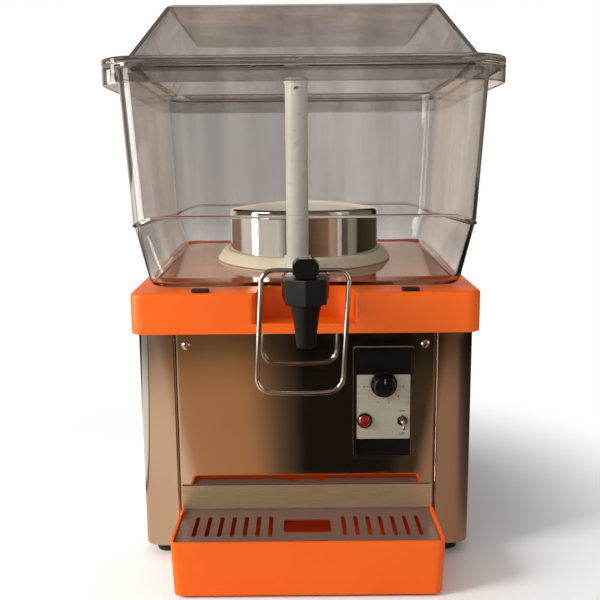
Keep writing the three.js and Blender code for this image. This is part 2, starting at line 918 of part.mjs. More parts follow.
function makeDrum() {
  const rim = drumRimHeight;
  const foot = deckUnder(drumY - drumFlangeRadius) - drumFlangeSheet - overrun;
  const outer = [];
  const inner = [];
  for (let i = 0; i <= edgeSteps; i += 1) {
    const angle = (i / edgeSteps) * (Math.PI / 2);
    const radius = drumRadius - drumEdgeRound * (1 - Math.cos(angle));
    const height = rim - drumEdgeRound * (1 - Math.sin(angle));
    outer.push([radius, height]);
    inner.unshift([radius - drumSheet, height - drumSheet]);
  }
  const domeRadius = drumRadius - drumEdgeRound;
  for (let i = 1; i <= edgeSteps; i += 1) {
    const share = i / edgeSteps;
    const rise = drumDomeRise * (1 - (1 - share) ** 2);
    outer.push([domeRadius * (1 - share), rim + rise]);
    inner.unshift([Math.max(domeRadius * (1 - share) - drumSheet, 0), rim + rise - drumSheet]);
  }
  inner.shift();
  const innerApex = [0, rim + drumDomeRise - drumSheet];
  const foots = [[drumRadius - drumSheet, foot], [drumRadius, foot]];
  const shell = solid(turned([innerApex, ...inner, ...foots, ...outer], roundSides).translate(0, drumY, 0));
  const top = deckUnder(0) - gap;
  const flange = slopedRing(drumRadius - drumSheet, drumFlangeRadius, top - drumFlangeSheet, top);
  piece('evaporator_drum', join(shell, flange), mirrorSteel);
}

// The gasket grips the edge of the bowl's hole from below and above, and its lip seals against the drum.
function makeGasket() {
  const inner = drumRadius + gap;
  const hole = drumRadius + bowlHoleClearance;
  const skirt = hole + bowlCollarWall + gap;
  const foot = deckTop(0) + gap;
  const floor = bowlFloor(0);
  const collarTop = floor + bowlCollarRise + gap;
  const profile = [
    [inner, foot],
    [gasketRadius, foot],
    [gasketRadius, foot + gasketThickness],
    [hole - gap, foot + gasketThickness],
    [hole - gap, collarTop],
    [skirt, collarTop],
    [skirt, floor + gap],
    [gasketRadius, floor + gap],
    [gasketRadius, floor + gap + gasketEdge],
    [inner + gasketLip, floor + gasketLipRise],
    [inner, floor + gasketLipRise],
    [inner, foot],
  ];
  const ringBody = sloped(turned(profile, roundSides).translate(0, drumY, 0));
  piece('drum_gasket', solid(ringBody), beigeRubber);
}

// Bowl

const bowlKink = (y, facing) => (
  bowlKinkFrontHeight + (bowlKinkSideHeight - bowlKinkFrontHeight) * facing
);

// The bowl's outer form, or its inner form when every wall is moved in by an inset.
function bowlForm(inset, floorAt, top) {
  return solid(loft([
    ring(
      bowlFootWidth - 2 * inset,
      bowlFront + bowlFootFrontInset + inset,
      bowlBack - bowlFootBackInset - inset,
      bowlFootCornerRadius - inset,
      floorAt,
    ),
    ring(
      bowlKinkWidth - 2 * inset,
      bowlFront + bowlKinkFrontInset + inset,
      bowlBack - bowlKinkBackInset - inset,
      bowlKinkCornerRadius - inset,
      bowlKink,
    ),
    ring(
      bowlTopWidth - 2 * inset,
      bowlFront + inset,
      bowlBack - inset,
      bowlTopCornerRadius - inset,
      () => bowlHeight,
    ),
    ring(
      bowlTopWidth - 2 * inset,
      bowlFront + inset,
      bowlBack - inset,
      bowlTopCornerRadius - inset,
      () => top,
    ),
  ].slice(0, top > bowlHeight ? 4 : 3)));
}

function rimOutline(inset) {
  return roundedRectangle(
    centred(rimWidth - 2 * inset),
    centred(rimLength - 2 * inset, bowlCentre),
    rimCornerRadius - inset,
  );
}

function bowlRim() {
  const under = bowlHeight - rimDepth;
  const band = solid(raised(rimOutline(0), under, bowlHeight));
  const hollow = solid(raised(rimOutline(rimWall), under - overrun, bowlHeight - rimWall));
  return cut(band, hollow);
}

// Section of the outlet boss: flat on top and round below.
function bossOutline(inset) {
  const half = bossWidth / 2 - inset;
  const top = bossTopHeight - inset;
  const foot = bossTopHeight - bossDepth + inset;
  const radius = bossRound - inset;
  const shape = new THREE.Shape();
  shape.moveTo(half, top);
  shape.lineTo(-half, top);
  shape.lineTo(-half, foot + radius);
  shape.absarc(-half + radius, foot + radius, radius, Math.PI, 1.5 * Math.PI, false);
  shape.lineTo(half - radius, foot);
  shape.absarc(half - radius, foot + radius, radius, 1.5 * Math.PI, 2 * Math.PI, false);
  return shape;
}

function makeBowl() {
  const outer = bowlForm(0, bowlUnder, bowlHeight);
  const inner = bowlForm(bowlWall, bowlFloor, bowlHeight + overrun);
  const boss = solid(alongY(bossOutline(0), -bossReach, bossTail));
  const channel = solid(alongY(bossOutline(bossWall), -bossReach + bossWall, bossTail - bossWall));
  const holeStart = -bossReach - overrun;
  const bossHole = bore('y', tapSpigotRadius + gap, holeStart, overrun, [0, tapPortHeight], middleSides);
  const holeRadius = drumRadius + bowlHoleClearance;
  const collarFoot = bowlUnder(0);
  const collarTop = bowlFloor(0) + bowlCollarRise;
  const collar = slopedRing(holeRadius, holeRadius + bowlCollarWall, collarFoot, collarTop);
  const bossOut = cut(boss, inner);
  let bowl = join(outer, bowlRim(), bossOut);
  bowl = cut(bowl, inner, channel, bossHole);
  const hole = bar('z', holeRadius, cabinetTop, bowlKinkSideHeight, [0, drumY], roundSides);
  bowl = join(cut(bowl, hole), collar);
  const pinTop = pumpRoofHeight - pumpWall - impellerClearance;
  const pin = bar('z', pinRadius, bowlUnder(tubeY) + gap, pinTop, [tubeX, tubeY], smallSides);
  piece('bowl', join(bowl, pin), clearPlastic);
}

// Lid

function roofForm(inset, foot, top) {
  const base = lidTop - lidFlange;
  const lean = lidRoofInset / lidRoofHeight;
  const at = (z) => inset + lean * (z - base);
  const level = (z, radius) => ring(
    rimWidth - 2 * (lidRoofSideSetback + at(z)),
    bowlCentre - rimLength / 2 + lidRoofFrontSetback + at(z),
    bowlCentre + rimLength / 2 - lidRoofFrontSetback - at(z),
    radius,
    () => z,
  );
  return solid(loft([level(foot, lidRoofFootRadius), level(top, lidRoofTopRadius)]));
}

function makeLid() {
  const base = lidTop - lidFlange;
  const edgeFoot = bowlHeight + gap;
  const plate = solid(raised(rimOutline(0), edgeFoot, lidTop));
  const under = solid(raised(rimOutline(lidWall), edgeFoot - overrun, base));
  const roof = roofForm(0, base, base + lidRoofHeight);
  const attic = roofForm(lidWall, base - overrun, base + lidRoofHeight - lidWall);
  const mouth = bowlWall + lidLipClearance;
  const lipRing = (inset) => roundedRectangle(
    centred(bowlTopWidth - 2 * inset),
    centred(bowlTopDepth - 2 * inset, bowlCentre),
    bowlTopCornerRadius - inset,
  );
  const lipFoot = bowlHeight - lidLipDepth;
  const lip = cut(
    solid(raised(lipRing(mouth), lipFoot, base + gap)),
    solid(raised(lipRing(mouth + lidLipWall), lipFoot - overrun, lidTop + overrun)),
  );
  piece('lid', cut(join(cut(plate, under), roof, lip), attic), clearPlastic);
}

// Spray tube and pump

function makeSprayTube() {
  const capFoot = tubeTop - tubeCapHeight;
  const profile = [
    [0, tubeTop - tubeCapHeight / 2],
    [tubeBoreRadius, tubeTop - tubeCapHeight / 2],
    [tubeBoreRadius, tubeFoot],
    [tubeRadius, tubeFoot],
    [tubeRadius, capFoot],
    [tubeCapRadius, capFoot],
    [tubeCapRadius, tubeTop - tubeCapHeight / 4],
    [tubeRadius - tubeCapHeight / 4, tubeTop],
    [0, tubeTop],
  ];
  const tube = solid(turned(profile, middleSides));
  const slotZ = [capFoot - 2 * tubeSlotHeight, capFoot - tubeSlotHeight];
  const across = centred(2 * (tubeRadius + overrun));
  const slots = join(
    block(across, centred(tubeSlotWidth), slotZ),
    block(centred(tubeSlotWidth), across, slotZ),
  );
  piece('spray_tube', cut(tube, slots).translate(tubeX, tubeY, 0), milkyPlastic);
}

// Everything below a plane that lies just above the bowl's floor.
function underFloor(clearance) {
  const top = bowlFloor(0) + clearance;
  const slab = new THREE.BoxGeometry(bowlTopWidth, 2 * bowlTopDepth, cabinetTop);
  return solid(sloped(slab.translate(0, 0, top - cabinetTop / 2)));
}

function makePumpCover() {
  const foot = bowlUnder(0);
  const chamberRadius = pumpRadius - pumpWall;
  const chamberTop = pumpRoofHeight - pumpWall;
  const socketRadius = tubeRadius + gap;
  const socketFoot = tubeFoot - gap;
  const socketTop = tubeFoot + pumpSocketDepth;
  const profile = [
    [chamberRadius, foot],
    [pumpRadius, foot],
    [pumpRadius, pumpRoofHeight],
    [socketRadius + pumpSocketWall, socketFoot],
    [socketRadius + pumpSocketWall, socketTop],
    [socketRadius, socketTop],
    [socketRadius, socketFoot],
    [tubeBoreRadius, socketFoot],
    [tubeBoreRadius, chamberTop],
    [chamberRadius, chamberTop],
    [chamberRadius, foot],
  ];
  const cover = solid(turned(profile, middleSides).translate(tubeX, tubeY, 0));
  const across = 2 * (pumpRadius + overrun);
  const windowZ = [foot, bowlFloor(tubeY) + pumpWindowHeight];
  const windows = join(
    block(centred(across, tubeX), centred(pumpWindowWidth, tubeY), windowZ),
    block(centred(pumpWindowWidth, tubeX), centred(across, tubeY), windowZ),
  );
  piece('pump_cover', cut(cover, windows, underFloor(gap)), milkyPlastic);
}

function makeImpeller() {
  const foot = bowlFloor(tubeY + impellerRadius) + impellerClearance;
  const top = pumpRoofHeight - pumpWall - impellerClearance;
  let wheel = bar('z', impellerHubRadius, foot, top, [0, 0], smallSides);
  wheel = wheel.add(bar('z', impellerRadius, foot, foot + impellerDisc, [0, 0], middleSides));
  for (let i = 0; i < impellerBlades; i += 1) {
    const blade = block([0, impellerRadius], centred(impellerBladeThickness), [foot, top]);
    wheel = wheel.add(blade.rotate([0, 0, (fullTurn * i) / impellerBlades]));
  }
  const pinBore = bore('z', pinRadius + gap, foot - overrun, top + overrun, [0, 0]);
  piece('impeller', cut(wheel, pinBore).translate(tubeX, tubeY, 0), blackPlastic);
}

const magnetTop = deckUnder(tubeY - magnetRadius) - magnetClearance;
const bracketTop = magnetTop - magnetThickness - magnetClearance;

function makeDriveMagnet() {
  const foot = magnetTop - magnetThickness;
  const wheel = bar('z', magnetRadius, foot, magnetTop, [tubeX, tubeY]);
  const shaftBore = bore('z', motorShaftRadius + gap, foot - overrun, magnetTop + overrun, [tubeX, tubeY]);
  piece('drive_magnet', cut(wheel, shaftBore), magnetGrey);
}

function makePumpMotor() {
  const top = bracketTop - bracketSheet - gap;
  const foot = top - motorHeight;
  const can = bar('z', motorRadius, foot, top, [tubeX, tubeY]);
  const shaft = bar('z', motorShaftRadius, foot, magnetTop - gap, [tubeX, tubeY], smallSides);
  piece('pump_motor', join(can, shaft), enamelBlack);
}

function makeMotorBracket() {
  const legTop = deckUnder(tubeY + bracketDepth) + overrun;
  const ys = centred(bracketDepth, tubeY);
  const half = bracketSpan / 2;
  let bracket = block(centred(bracketSpan, tubeX), ys, [bracketTop - bracketSheet, bracketTop]);
  for (const side of [-1, 1]) {
    const edges = [tubeX + side * half, tubeX + side * (half - bracketSheet)].sort((a, b) => a - b);
    bracket = bracket.add(block(edges, ys, [bracketTop - bracketSheet, legTop]));
    const tab = [tubeX + side * (half - bracketSheet), tubeX + side * (half + bracketDepth / 2)];
    const tabFoot = deckUnder(tubeY - bracketDepth) - bracketSheet;
    bracket = bracket.add(block(tab.sort((a, b) => a - b), ys, [tabFoot, legTop]));
  }
  const above = new THREE.BoxGeometry(deckWidth, 2 * deckDepth, cabinetTop);
  const slab = solid(sloped(above.translate(0, 0, deckUnder(0) - gap + cabinetTop / 2)));
  const hole = bore('z', motorShaftRadius + gap, bracketTop - overrun, bracketTop + overrun, [tubeX, tubeY]);
  piece('motor_bracket', cut(bracket, slab, hole), zincSteel);
}

// Tap

// A six-sided prism with flats to the left and right and a corner to the front.
function hexPrism(width, from, to) {
  const radius = width / 2 / Math.cos(Math.PI / hexSides);
  return solid(raised(polygon(radius, hexSides), from, to).rotateZ(Math.PI / 2));
}

function makeTapBody() {
  const hex = hexPrism(tapHexWidth, tapHexFoot, tapHexTop);
  const spout = solid(turned([
    [0, spoutTipHeight],
    [spoutTipRadius, spoutTipHeight],
    [spoutMiddleRadius, spoutMiddleHeight],
    [spoutTopRadius, tapHexFoot],
    [tapHexWidth / 2, tapHexFoot],
    [tapHexWidth / 2, tapHexFoot + tapCollarHeight],
    [0, tapHexFoot + tapCollarHeight],
  ]));
  const neckEnd = tapReach - bossReach - gap - sealThickness - gap;
  const spigotEnd = tapReach - bossReach + tapSpigotReach;
  const neck = bar('y', tapNeckRadius, 0, neckEnd, [0, tapPortHeight]);
  const spigot = bar('y', tapSpigotRadius, 0, spigotEnd, [0, tapPortHeight]);
  const chamber = solid(turned([
    [0, spoutTipHeight - overrun],
    [spoutBoreRadius, spoutTipHeight - overrun],
    [tapSeatRadius, tapSeatHeight],
    [tapChamberRadius, tapSeatHeight + tapSeatRise],
    [tapChamberRadius, tapHexTop + overrun],
    [0, tapHexTop + overrun],
  ]));
  const port = bar('y', tapPortRadius, 0, spigotEnd + overrun, [0, tapPortHeight], smallSides);
  const body = cut(join(hex, spout, neck, spigot), chamber, port);
  piece('tap_body', body.translate(0, -tapReach, 0), blackPlastic);
}

function makeOutletSeal() {
  const inner = tapSpigotRadius + gap;
  const front = -bossReach - gap - sealThickness;
  const ringBody = bar('y', inner + sealWidth, front, front + sealThickness, [0, tapPortHeight]);
  const sealBore = bore('y', inner, front - overrun, front + overrun, [0, tapPortHeight], middleSides);
  piece('outlet_seal', cut(ringBody, sealBore), beigeRubber);
}

const headFront = handleY - headFrontReach;
const headBack = -tapReach + headBackReach;
const headTop = headFoot + headHeight;

// The tap head: an eight-sided block with a plug below it and an open pocket for the lifting fork.
function makeTapHead() {
  const half = headWidth / 2;
  const outline = new THREE.Shape([
    point2(-half + headChamfer, headFoot),
    point2(half - headChamfer, headFoot),
    point2(half, headFoot + headChamfer),
    point2(half, headTop - headChamfer),
    point2(half - headChamfer, headTop),
    point2(-half + headChamfer, headTop),
    point2(-half, headTop - headChamfer),
    point2(-half, headFoot + headChamfer),
  ]);
  const head = solid(alongY(outline, headFront, headBack));
  const plugFoot = headFoot - headPlugDepth;
  const plug = bar('z', tapChamberRadius - gap, plugFoot, headFoot + gap, [0, -tapReach]);
  const stemBore = bore(
    'z',
    stemRadius + stemClearance,
    plugFoot - overrun,
    headTop + overrun,
    [0, -tapReach],
  );
  const pocketFoot = handleHeight - hubRadius - 2 * gap;
  const pocketFront = handleY - hubRadius - gap;
  const pocket = block(
    centred(headPocketWidth),
    [pocketFront, headBack + overrun],
    [pocketFoot, headTop + overrun],
  );
  const wireBore = bore('x', wireRadius + gap, -headWidth, headWidth, [handleY, handleHeight]);
  piece('tap_head', cut(join(head, plug), stemBore, pocket, wireBore), blackPlastic);
}

function makePlunger() {
  const discFoot = tapSeatHeight + tapSeatRise + gap;
  const headUnder = handleHeight + stemHeadLift;
  const profile = [
    [0, discFoot - tapSeatRise / 2],
    [tapSeatRadius - gap, discFoot - tapSeatRise / 2],
    [valveDiscRadius, discFoot],
    [valveDiscRadius, discFoot + valveDiscThickness],
    [stemRadius, discFoot + valveDiscThickness],
    [stemRadius, headUnder],
    [stemHeadRadius, headUnder],
    [stemHeadRadius, headUnder + stemHeadThickness],
    [0, headUnder + stemHeadThickness],
  ];
  piece('valve_plunger', solid(turned(profile, smallSides).translate(0, -tapReach, 0)), brushedSteel);
}

class Coil extends THREE.Curve {
  constructor(radius, foot, top, turns) {
    super();
    Object.assign(this, { radius, foot, top, turns });
  }

  getPoint(share, target = new THREE.Vector3()) {
    const angle = 2 * Math.PI * this.turns * share;
    const height = this.foot + (this.top - this.foot) * share;
    return target.set(this.radius * Math.cos(angle), this.radius * Math.sin(angle), height);
  }
}

// A round rod that follows a curve.
function sweep(curve, radius, steps, sides) {
  const settings = { steps, extrudePath: curve, bevelEnabled: false };
  return new THREE.ExtrudeGeometry(polygon(radius, sides), settings);
}

// The least gap between two turns of a wound wire, measured between points on its middle line.
function leastGap(curve, steps, stepsPerTurn, wire) {
  const points = curve.getPoints(steps);
  let least = Infinity;
  for (let i = 0; i < points.length; i += 1) {
    for (let j = i + stepsPerTurn / 2; j < points.length; j += 1) {
      least = Math.min(least, points[i].distanceTo(points[j]) - 2 * wire);
    }
  }
  return least;
}

function makeValveSpring() {
  const foot = tapSeatHeight + tapSeatRise + gap + valveDiscThickness + gap + springWireRadius;
  const top = headFoot - headPlugDepth - gap - springWireRadius;
  const coil = new Coil(springRadius, foot, top, springTurns);
  const steps = springTurns * springStepsPerTurn;
  const wire = sweep(coil, springWireRadius, steps, springSides);
  const clear = leastGap(coil, steps, springStepsPerTurn, springWireRadius);
  console.log(`valve_spring least gap to itself: ${clear.toFixed(2)} mm`);
  piece('valve_spring', solid(wire.translate(0, -tapReach, 0)), chrome);
}

// The loop of the handle, which starts and ends inside the hub and leans a little to the left.
class HandleLoop extends THREE.CurvePath {
  constructor() {
    super();
    const half = wireWidth / 2;
    const low = -wireDrop;
    const path = (x, z) => new THREE.Vector3(x + (wireLean * z) / wireDrop, 0, z);
    const bends = [
      [wireEndInset, 0],
      [half, 0, wireTopRadius],
      [half, low, wireFootRadius],
      [0, low - wireFootBow, wireWidth / 4],
      [-half, low, wireFootRadius],
      [-half, 0, wireTopRadius],
      [-wireEndInset, 0],
    ].map(([x, z, radius]) => ({ at: path(x, z), radius }));
    let from = bends[0].at;
    for (let i = 1; i + 1 < bends.length; i += 1) {
      const { at, radius } = bends[i];
      const back = bends[i - 1].at.clone().sub(at).normalize();
      const on = bends[i + 1].at.clone().sub(at).normalize();
      const start = at.clone().addScaledVector(back, radius);
      const end = at.clone().addScaledVector(on, radius);
      this.add(new THREE.LineCurve3(from, start));
      const pullStart = start.clone().lerp(at, wireBendPull_share);
      const pullEnd = end.clone().lerp(at, wireBendPull_share);
      this.add(new THREE.CubicBezierCurve3(start, pullStart, pullEnd, end));
      from = end;
    }
    this.add(new THREE.LineCurve3(from, bends[bends.length - 1].at));
  }
}

function makeHandleWire() {
  const wire = sweep(new HandleLoop(), wireRadius, wireSteps, wireSides);
  piece('handle_wire', solid(wire.translate(0, handleY, handleHeight)), chrome);
}

// The hub inside the tap head, with two tines that lift the stem's head.
function makeLiftFork() {
  const half = hubWidth / 2;
  let fork = bar('x', hubRadius, -half, half, [0, 0], smallSides);
  for (const side of [-1, 1]) {
    const tine = [side * half, side * (half - forkTineWidth)].sort((a, b) => a - b);
    fork = fork.add(block(tine, [0, forkLength], centred(forkThickness)));
    const socket = [side * (wireEndInset - gap), side * (half + overrun)].sort((a, b) => a - b);
    fork = fork.subtract(bore('x', wireRadius + gap, ...socket, [0, 0]));
  }
  piece('lift_fork', fork.translate(0, handleY, handleHeight), brushedSteel);
}

// Control panel

function makeBezel() {
  const inner = 2 * bezelBorder;
  const outline = roundedRectangle(
    centred(bezelWidth, panelX),
    centred(bezelHeight, panelZ),
    bezelBorder,
  );
  const frame = solid(alongY(outline, -gap - bezelThickness, -gap));
  const opening = block(
    centred(bezelWidth - inner, panelX),
    [-bezelThickness - overrun, overrun],
    centred(bezelHeight - inner, panelZ),
  );
  piece('control_bezel', cut(frame, opening), mirrorSteel);
}

// Holes for the thermostat, the lamp and the switch.
function controlHoles() {
  const run = [-bezelThickness - overrun, overrun];
  return join(
    bore('y', bushingRadius + gap, ...run, [panelX, knobZ]),
    bore('y', lampBodyRadius + gap, ...run, [lampX, lowerRowZ]),
    bore('y', toggleBushingRadius + gap, ...run, [toggleX, lowerRowZ]),
  );
}

function makeControlPlate() {
  const inset = 2 * (bezelBorder + gap);
  const plate = block(
    centred(bezelWidth - inset, panelX),
    [plateFront, -gap],
    centred(bezelHeight - inset, panelZ),
  );
  piece('control_plate', cut(plate, controlHoles()), blackPlastic);
}

function makeDialPlate() {
  const plate = block(
    centred(dialPlateWidth, panelX),
    [dialFront, dialFront + dialPlateThickness],
    centred(dialPlateHeight, panelZ - dialPlateDrop),
  );
  piece('dial_plate', cut(plate, controlHoles()), silverPlate);
}

function makeThermostat() {
  const body = block(
    centred(thermostatWidth, panelX),
    [0, thermostatDepth],
    centred(thermostatHeight, knobZ),
  );
  const bushing = bar('y', bushingRadius, dialFront - gap, thermostatDepth / 2, [panelX, knobZ], smallSides);
  const shaftEnd = dialFront - knobLength + knobSkirtDepth;
  const shaft = bar('y', shaftRadius, shaftEnd, thermostatDepth / 2, [panelX, knobZ], smallSides);
  piece('thermostat', join(body, bushing, shaft), brushedSteel);
}

function makeKnob() {
  const back = -2 * gap;
  const tip = back - knobLength;
  const body = solid(turned([
    [0, tip],
    [knobTipRadius - 2 * gap, tip],
    [knobTipRadius, tip + 2 * gap],
    [knobBaseRadius, back - knobSkirtDepth],
    [knobSkirtRadius, back - knobSkirtDepth],
    [knobSkirtRadius, back],
    [0, back],
  ]).rotateX(-Math.PI / 2).scale(1, 1, -1));
  const flutes = [];
  for (let i = 0; i < knobFlutes; i += 1) {
    const angle = (2 * Math.PI * (i + 0.5)) / knobFlutes;
    const reach = knobBaseRadius;
    const at = [reach * Math.cos(angle), reach * Math.sin(angle)];
    flutes.push(bar('y', knobFluteRadius, tip - overrun, back - knobSkirtDepth, at, fluteSides));
  }
  const shaftBore = bore('y', shaftRadius + gap, back - knobLength + knobSkirtDepth - gap, overrun, [0, 0]);
  const knob = cut(body, ...flutes, shaftBore);
  piece('thermostat_knob', knob.translate(panelX, dialFront, knobZ), blackPlastic);
}

function makePilotLamp() {
  const profile = [[0, -lampRingDepth - lampDome]];
  for (let i = 1; i <= cornerSteps; i += 1) {
    const angle = (i / cornerSteps) * (Math.PI / 2);
    const radius = (lampRadius - lampRingDepth) * Math.sin(angle);
    profile.push([radius, -lampRingDepth - lampDome * Math.cos(angle)]);
  }
  profile.push([lampRadius, -lampRingDepth]);
  profile.push([lampRadius, 0]);
  profile.push([lampBodyRadius, 0]);
  profile.push([lampBodyRadius, lampBodyDepth]);
  profile.push([0, lampBodyDepth]);
  const lamp = turned(profile, middleSides).rotateX(-Math.PI / 2).scale(1, 1, -1);
  piece('pilot_lamp', solid(lamp.translate(lampX, dialFront - gap, lowerRowZ)), redLens);
}

const leverY = dialFront - gap - toggleBushingReach;

function makeToggleBody() {
  const body = block(
    centred(toggleBodyWidth, toggleX),
    [0, toggleBodyDepth],
    centred(toggleBodyHeight, lowerRowZ),
  );
  const bushing = bar('y', toggleBushingRadius, leverY, overrun, [toggleX, lowerRowZ], smallSides);
  const ballBore = bore('y', leverBallRadius + gap, leverY - overrun, dialFront, [toggleX, lowerRowZ]);
  piece('toggle_body', cut(join(body, bushing), ballBore), chrome);
}

function makeToggleNut() {
  const nut = hexPrism(toggleNutWidth, 0, toggleNutThickness);
  const nutBore = bore('z', toggleBushingRadius + gap, -overrun, overrun, [0, 0]);
  const front = dialFront - gap;
  piece('toggle_nut', cut(nut, nutBore).rotate([90, 0, 0]).translate(toggleX, front, lowerRowZ), chrome);
}

function makeToggleLever() {
  const neck = leverLength / 3;
  const profile = [[0, -leverBallRadius]];
  for (let i = 1; i < cornerSteps; i += 1) {
    const angle = (i / cornerSteps) * Math.PI - Math.PI / 2;
    if (leverBallRadius * Math.cos(angle) > leverNeckRadius || angle < 0) {
      profile.push([leverBallRadius * Math.cos(angle), leverBallRadius * Math.sin(angle)]);
    }
  }
  profile.push([leverNeckRadius, leverBallRadius]);
  profile.push([leverNeckRadius, neck]);
  profile.push([leverTipRadius, leverLength - leverTipRadius]);
  profile.push([leverTipRadius / 2, leverLength]);
  profile.push([0, leverLength]);
  const tilt = THREE.MathUtils.degToRad(leverTilt);
  const lever = turned(profile, smallSides).rotateX(Math.PI / 2 + tilt);
  piece('toggle_lever', solid(lever.translate(toggleX, leverY, lowerRowZ)), chrome);
}

// Drip tray and grille

function trayRing(inset, z) {
  const share = (z - trayGroundRise) / trayHeight;
  const side = inset + trayFootInset * (1 - share);
  return ring(
    trayWidth - 2 * side,
    -trayReach + side,
    -trayBackInset - inset,
    trayCornerRadius - inset,
    () => z,
  );
}

function makeTray() {
  const shell = solid(loft([trayRing(0, trayGroundRise), trayRing(0, trayTop)]));
  const ledgeZ = grilleTop - grilleSheet - gap;
  const well = solid(loft([
    trayRing(trayWall + trayLedge, trayInner),
    trayRing(trayWall + trayLedge, trayTop + overrun),
  ]));
  const recess = block(
    centred(trayWidth - 2 * trayWall),
    [-trayReach + trayWall, overrun],
    [ledgeZ, trayTop + overrun],
  );
  const back = block(centred(trayWidth + overrun), [-sheetReturn / 2, overrun], [ledgeZ, trayTop + overrun]);
  const under = solid(loft([
    trayRing(trayWall, trayGroundRise - overrun),
    trayRing(trayWall, panTop + gap),
  ]));
  const slots = [-1, 1].map((side) => block(
    centred(tongueWidth + 2 * overrun, side * tongueX),
    [-trayReach + 2 * trayWall, overrun],
    [trayGroundRise - overrun, panTop + gap],
  ));
  piece('drip_tray', cut(shell, well, recess, back, under, ...slots), orangePlastic);
}

function makeGrille() {
  const width = trayWidth - 2 * (trayWall + grilleSideClearance);
  const front = -trayReach + trayWall + grilleSideClearance;
  const back = -grilleBackInset;
  const zs = [grilleTop - grilleSheet, grilleTop];
  let grille = block(centred(width), [front, back], zs);
  const upstandWidth = trayWidth - 2 * grilleSideClearance;
  const upstandZ = [zs[0], grilleTop + grilleUpstand];
  const upstand = block(centred(upstandWidth), [back - grilleSheet, back], upstandZ);
  grille = grille.add(upstand);
  const middle = (front + back) / 2;
  const cuts = [];
  const through = [zs[0] - overrun, zs[1] + overrun];
  const slotHalf = grilleSlotLength / 2;
  for (const side of [-1, 1]) {
    for (let i = 0; i < grilleSlotCount; i += 1) {
      const x = side * (width / 2 - grilleSlotInset - i * grilleSlotPitch);
      const slot = roundedRectangle(
        centred(grilleSlotWidth, x),
        [middle - slotHalf, middle + slotHalf],
        grilleSlotWidth / 2 - gap / 4,
      );
      cuts.push(solid(raised(slot, ...through, slotSteps)));
    }
    cuts.push(bar('z', fingerRadius, ...through, [side * fingerSpacing / 2, front], smallSides));
  }
  const window = roundedRectangle(centred(windowWidth), centred(windowDepth, middle), grilleSlotWidth / 2);
  cuts.push(solid(raised(window, ...through)));
  piece('drip_grille', cut(grille, ...cuts), brushedSteel);
}

// Cooling unit inside the cabinet

function makeCompressor() {
  const plateTop = panTop + gap + compressorFootHeight + compressorPlate;
  const seam = plateTop + compressorHeight / 2;
  const top = plateTop + compressorHeight;
  const round = compressorRadius / 2;
  const profile = [
    [0, plateTop - compressorPlate],
    [compressorRadius - round / 2, plateTop - compressorPlate],
    [compressorRadius, plateTop + round / 2],
    [compressorRadius, seam - compressorPlate],
    [compressorRadius + compressorPlate, seam - compressorPlate],
    [compressorRadius + compressorPlate, seam + compressorPlate],
  ];
  for (let i = 0; i <= edgeSteps; i += 1) {
    const angle = (i / edgeSteps) * (Math.PI / 2);
    profile.push([
      compressorRadius * Math.cos(angle),
      top - round + round * Math.sin(angle),
    ]);
  }
  let body = solid(turned(profile, middleSides).translate(compressorX, compressorY, 0));
  body = body.add(block(
    centred(compressorPlateWidth, compressorX),
    centred(compressorPlateWidth, compressorY),
    [plateTop - compressorPlate, plateTop],
  ));
  const reach = compressorPlateWidth / 2 - compressorFootRadius;
  for (const [sideX, sideY] of [[1, 1], [-1, 1], [-1, -1], [1, -1]]) {
    const at = [compressorX + sideX * reach, compressorY + sideY * reach];
    body = body.add(bar('z', compressorFootRadius, panTop + gap, plateTop, at, smallSides));
  }
  for (const side of [-1, 1]) {
    const at = [compressorX + side * compressorRadius / 2, compressorY];
    body = body.add(bar('z', compressorStubRadius, seam, top + compressorStubHeight, at, smallSides));
  }
  piece('compressor', body, enamelBlack);
}

const condenserBack = cabinetDepth - sheet - condenserBackInset;
const condenserFront = condenserBack - condenserDepth;
const condenserFoot = panTop + gap;
const fanZ = condenserFoot + condenserHeight / 2;

function makeCondenser() {
  const ys = [condenserFront, condenserBack];
  const zs = [condenserFoot, condenserFoot + condenserHeight];
  const pitch = (condenserWidth - finSheet) / (condenserFins - 1);
  let coil = null;
  for (let i = 0; i < condenserFins; i += 1) {
    const end = i === 0 || i === condenserFins - 1;
    const x = condenserX - condenserWidth / 2 + i * pitch;
    const fin = block([x, x + (end ? condenserEndSheet : finSheet)], ys, zs);
    coil = coil ? coil.add(fin) : fin;
  }
  const xs = centred(condenserWidth + 2 * condenserTubeRadius, condenserX);
  for (let row = 0; row < condenserTubeRows; row += 1) {
    const z = zs[0] + ((row + 0.5) * condenserHeight) / condenserTubeRows;
    coil = coil.add(bar('x', condenserTubeRadius, ...xs, [(ys[0] + ys[1]) / 2, z], condenserTubeSides));
  }
  piece('condenser', coil, aluminium);
}

const fanBack = condenserFront - fanClearance;
const fanFront = fanBack - fanHubDepth;
const fanMotorBack = fanFront - fanShaftReach / 2;

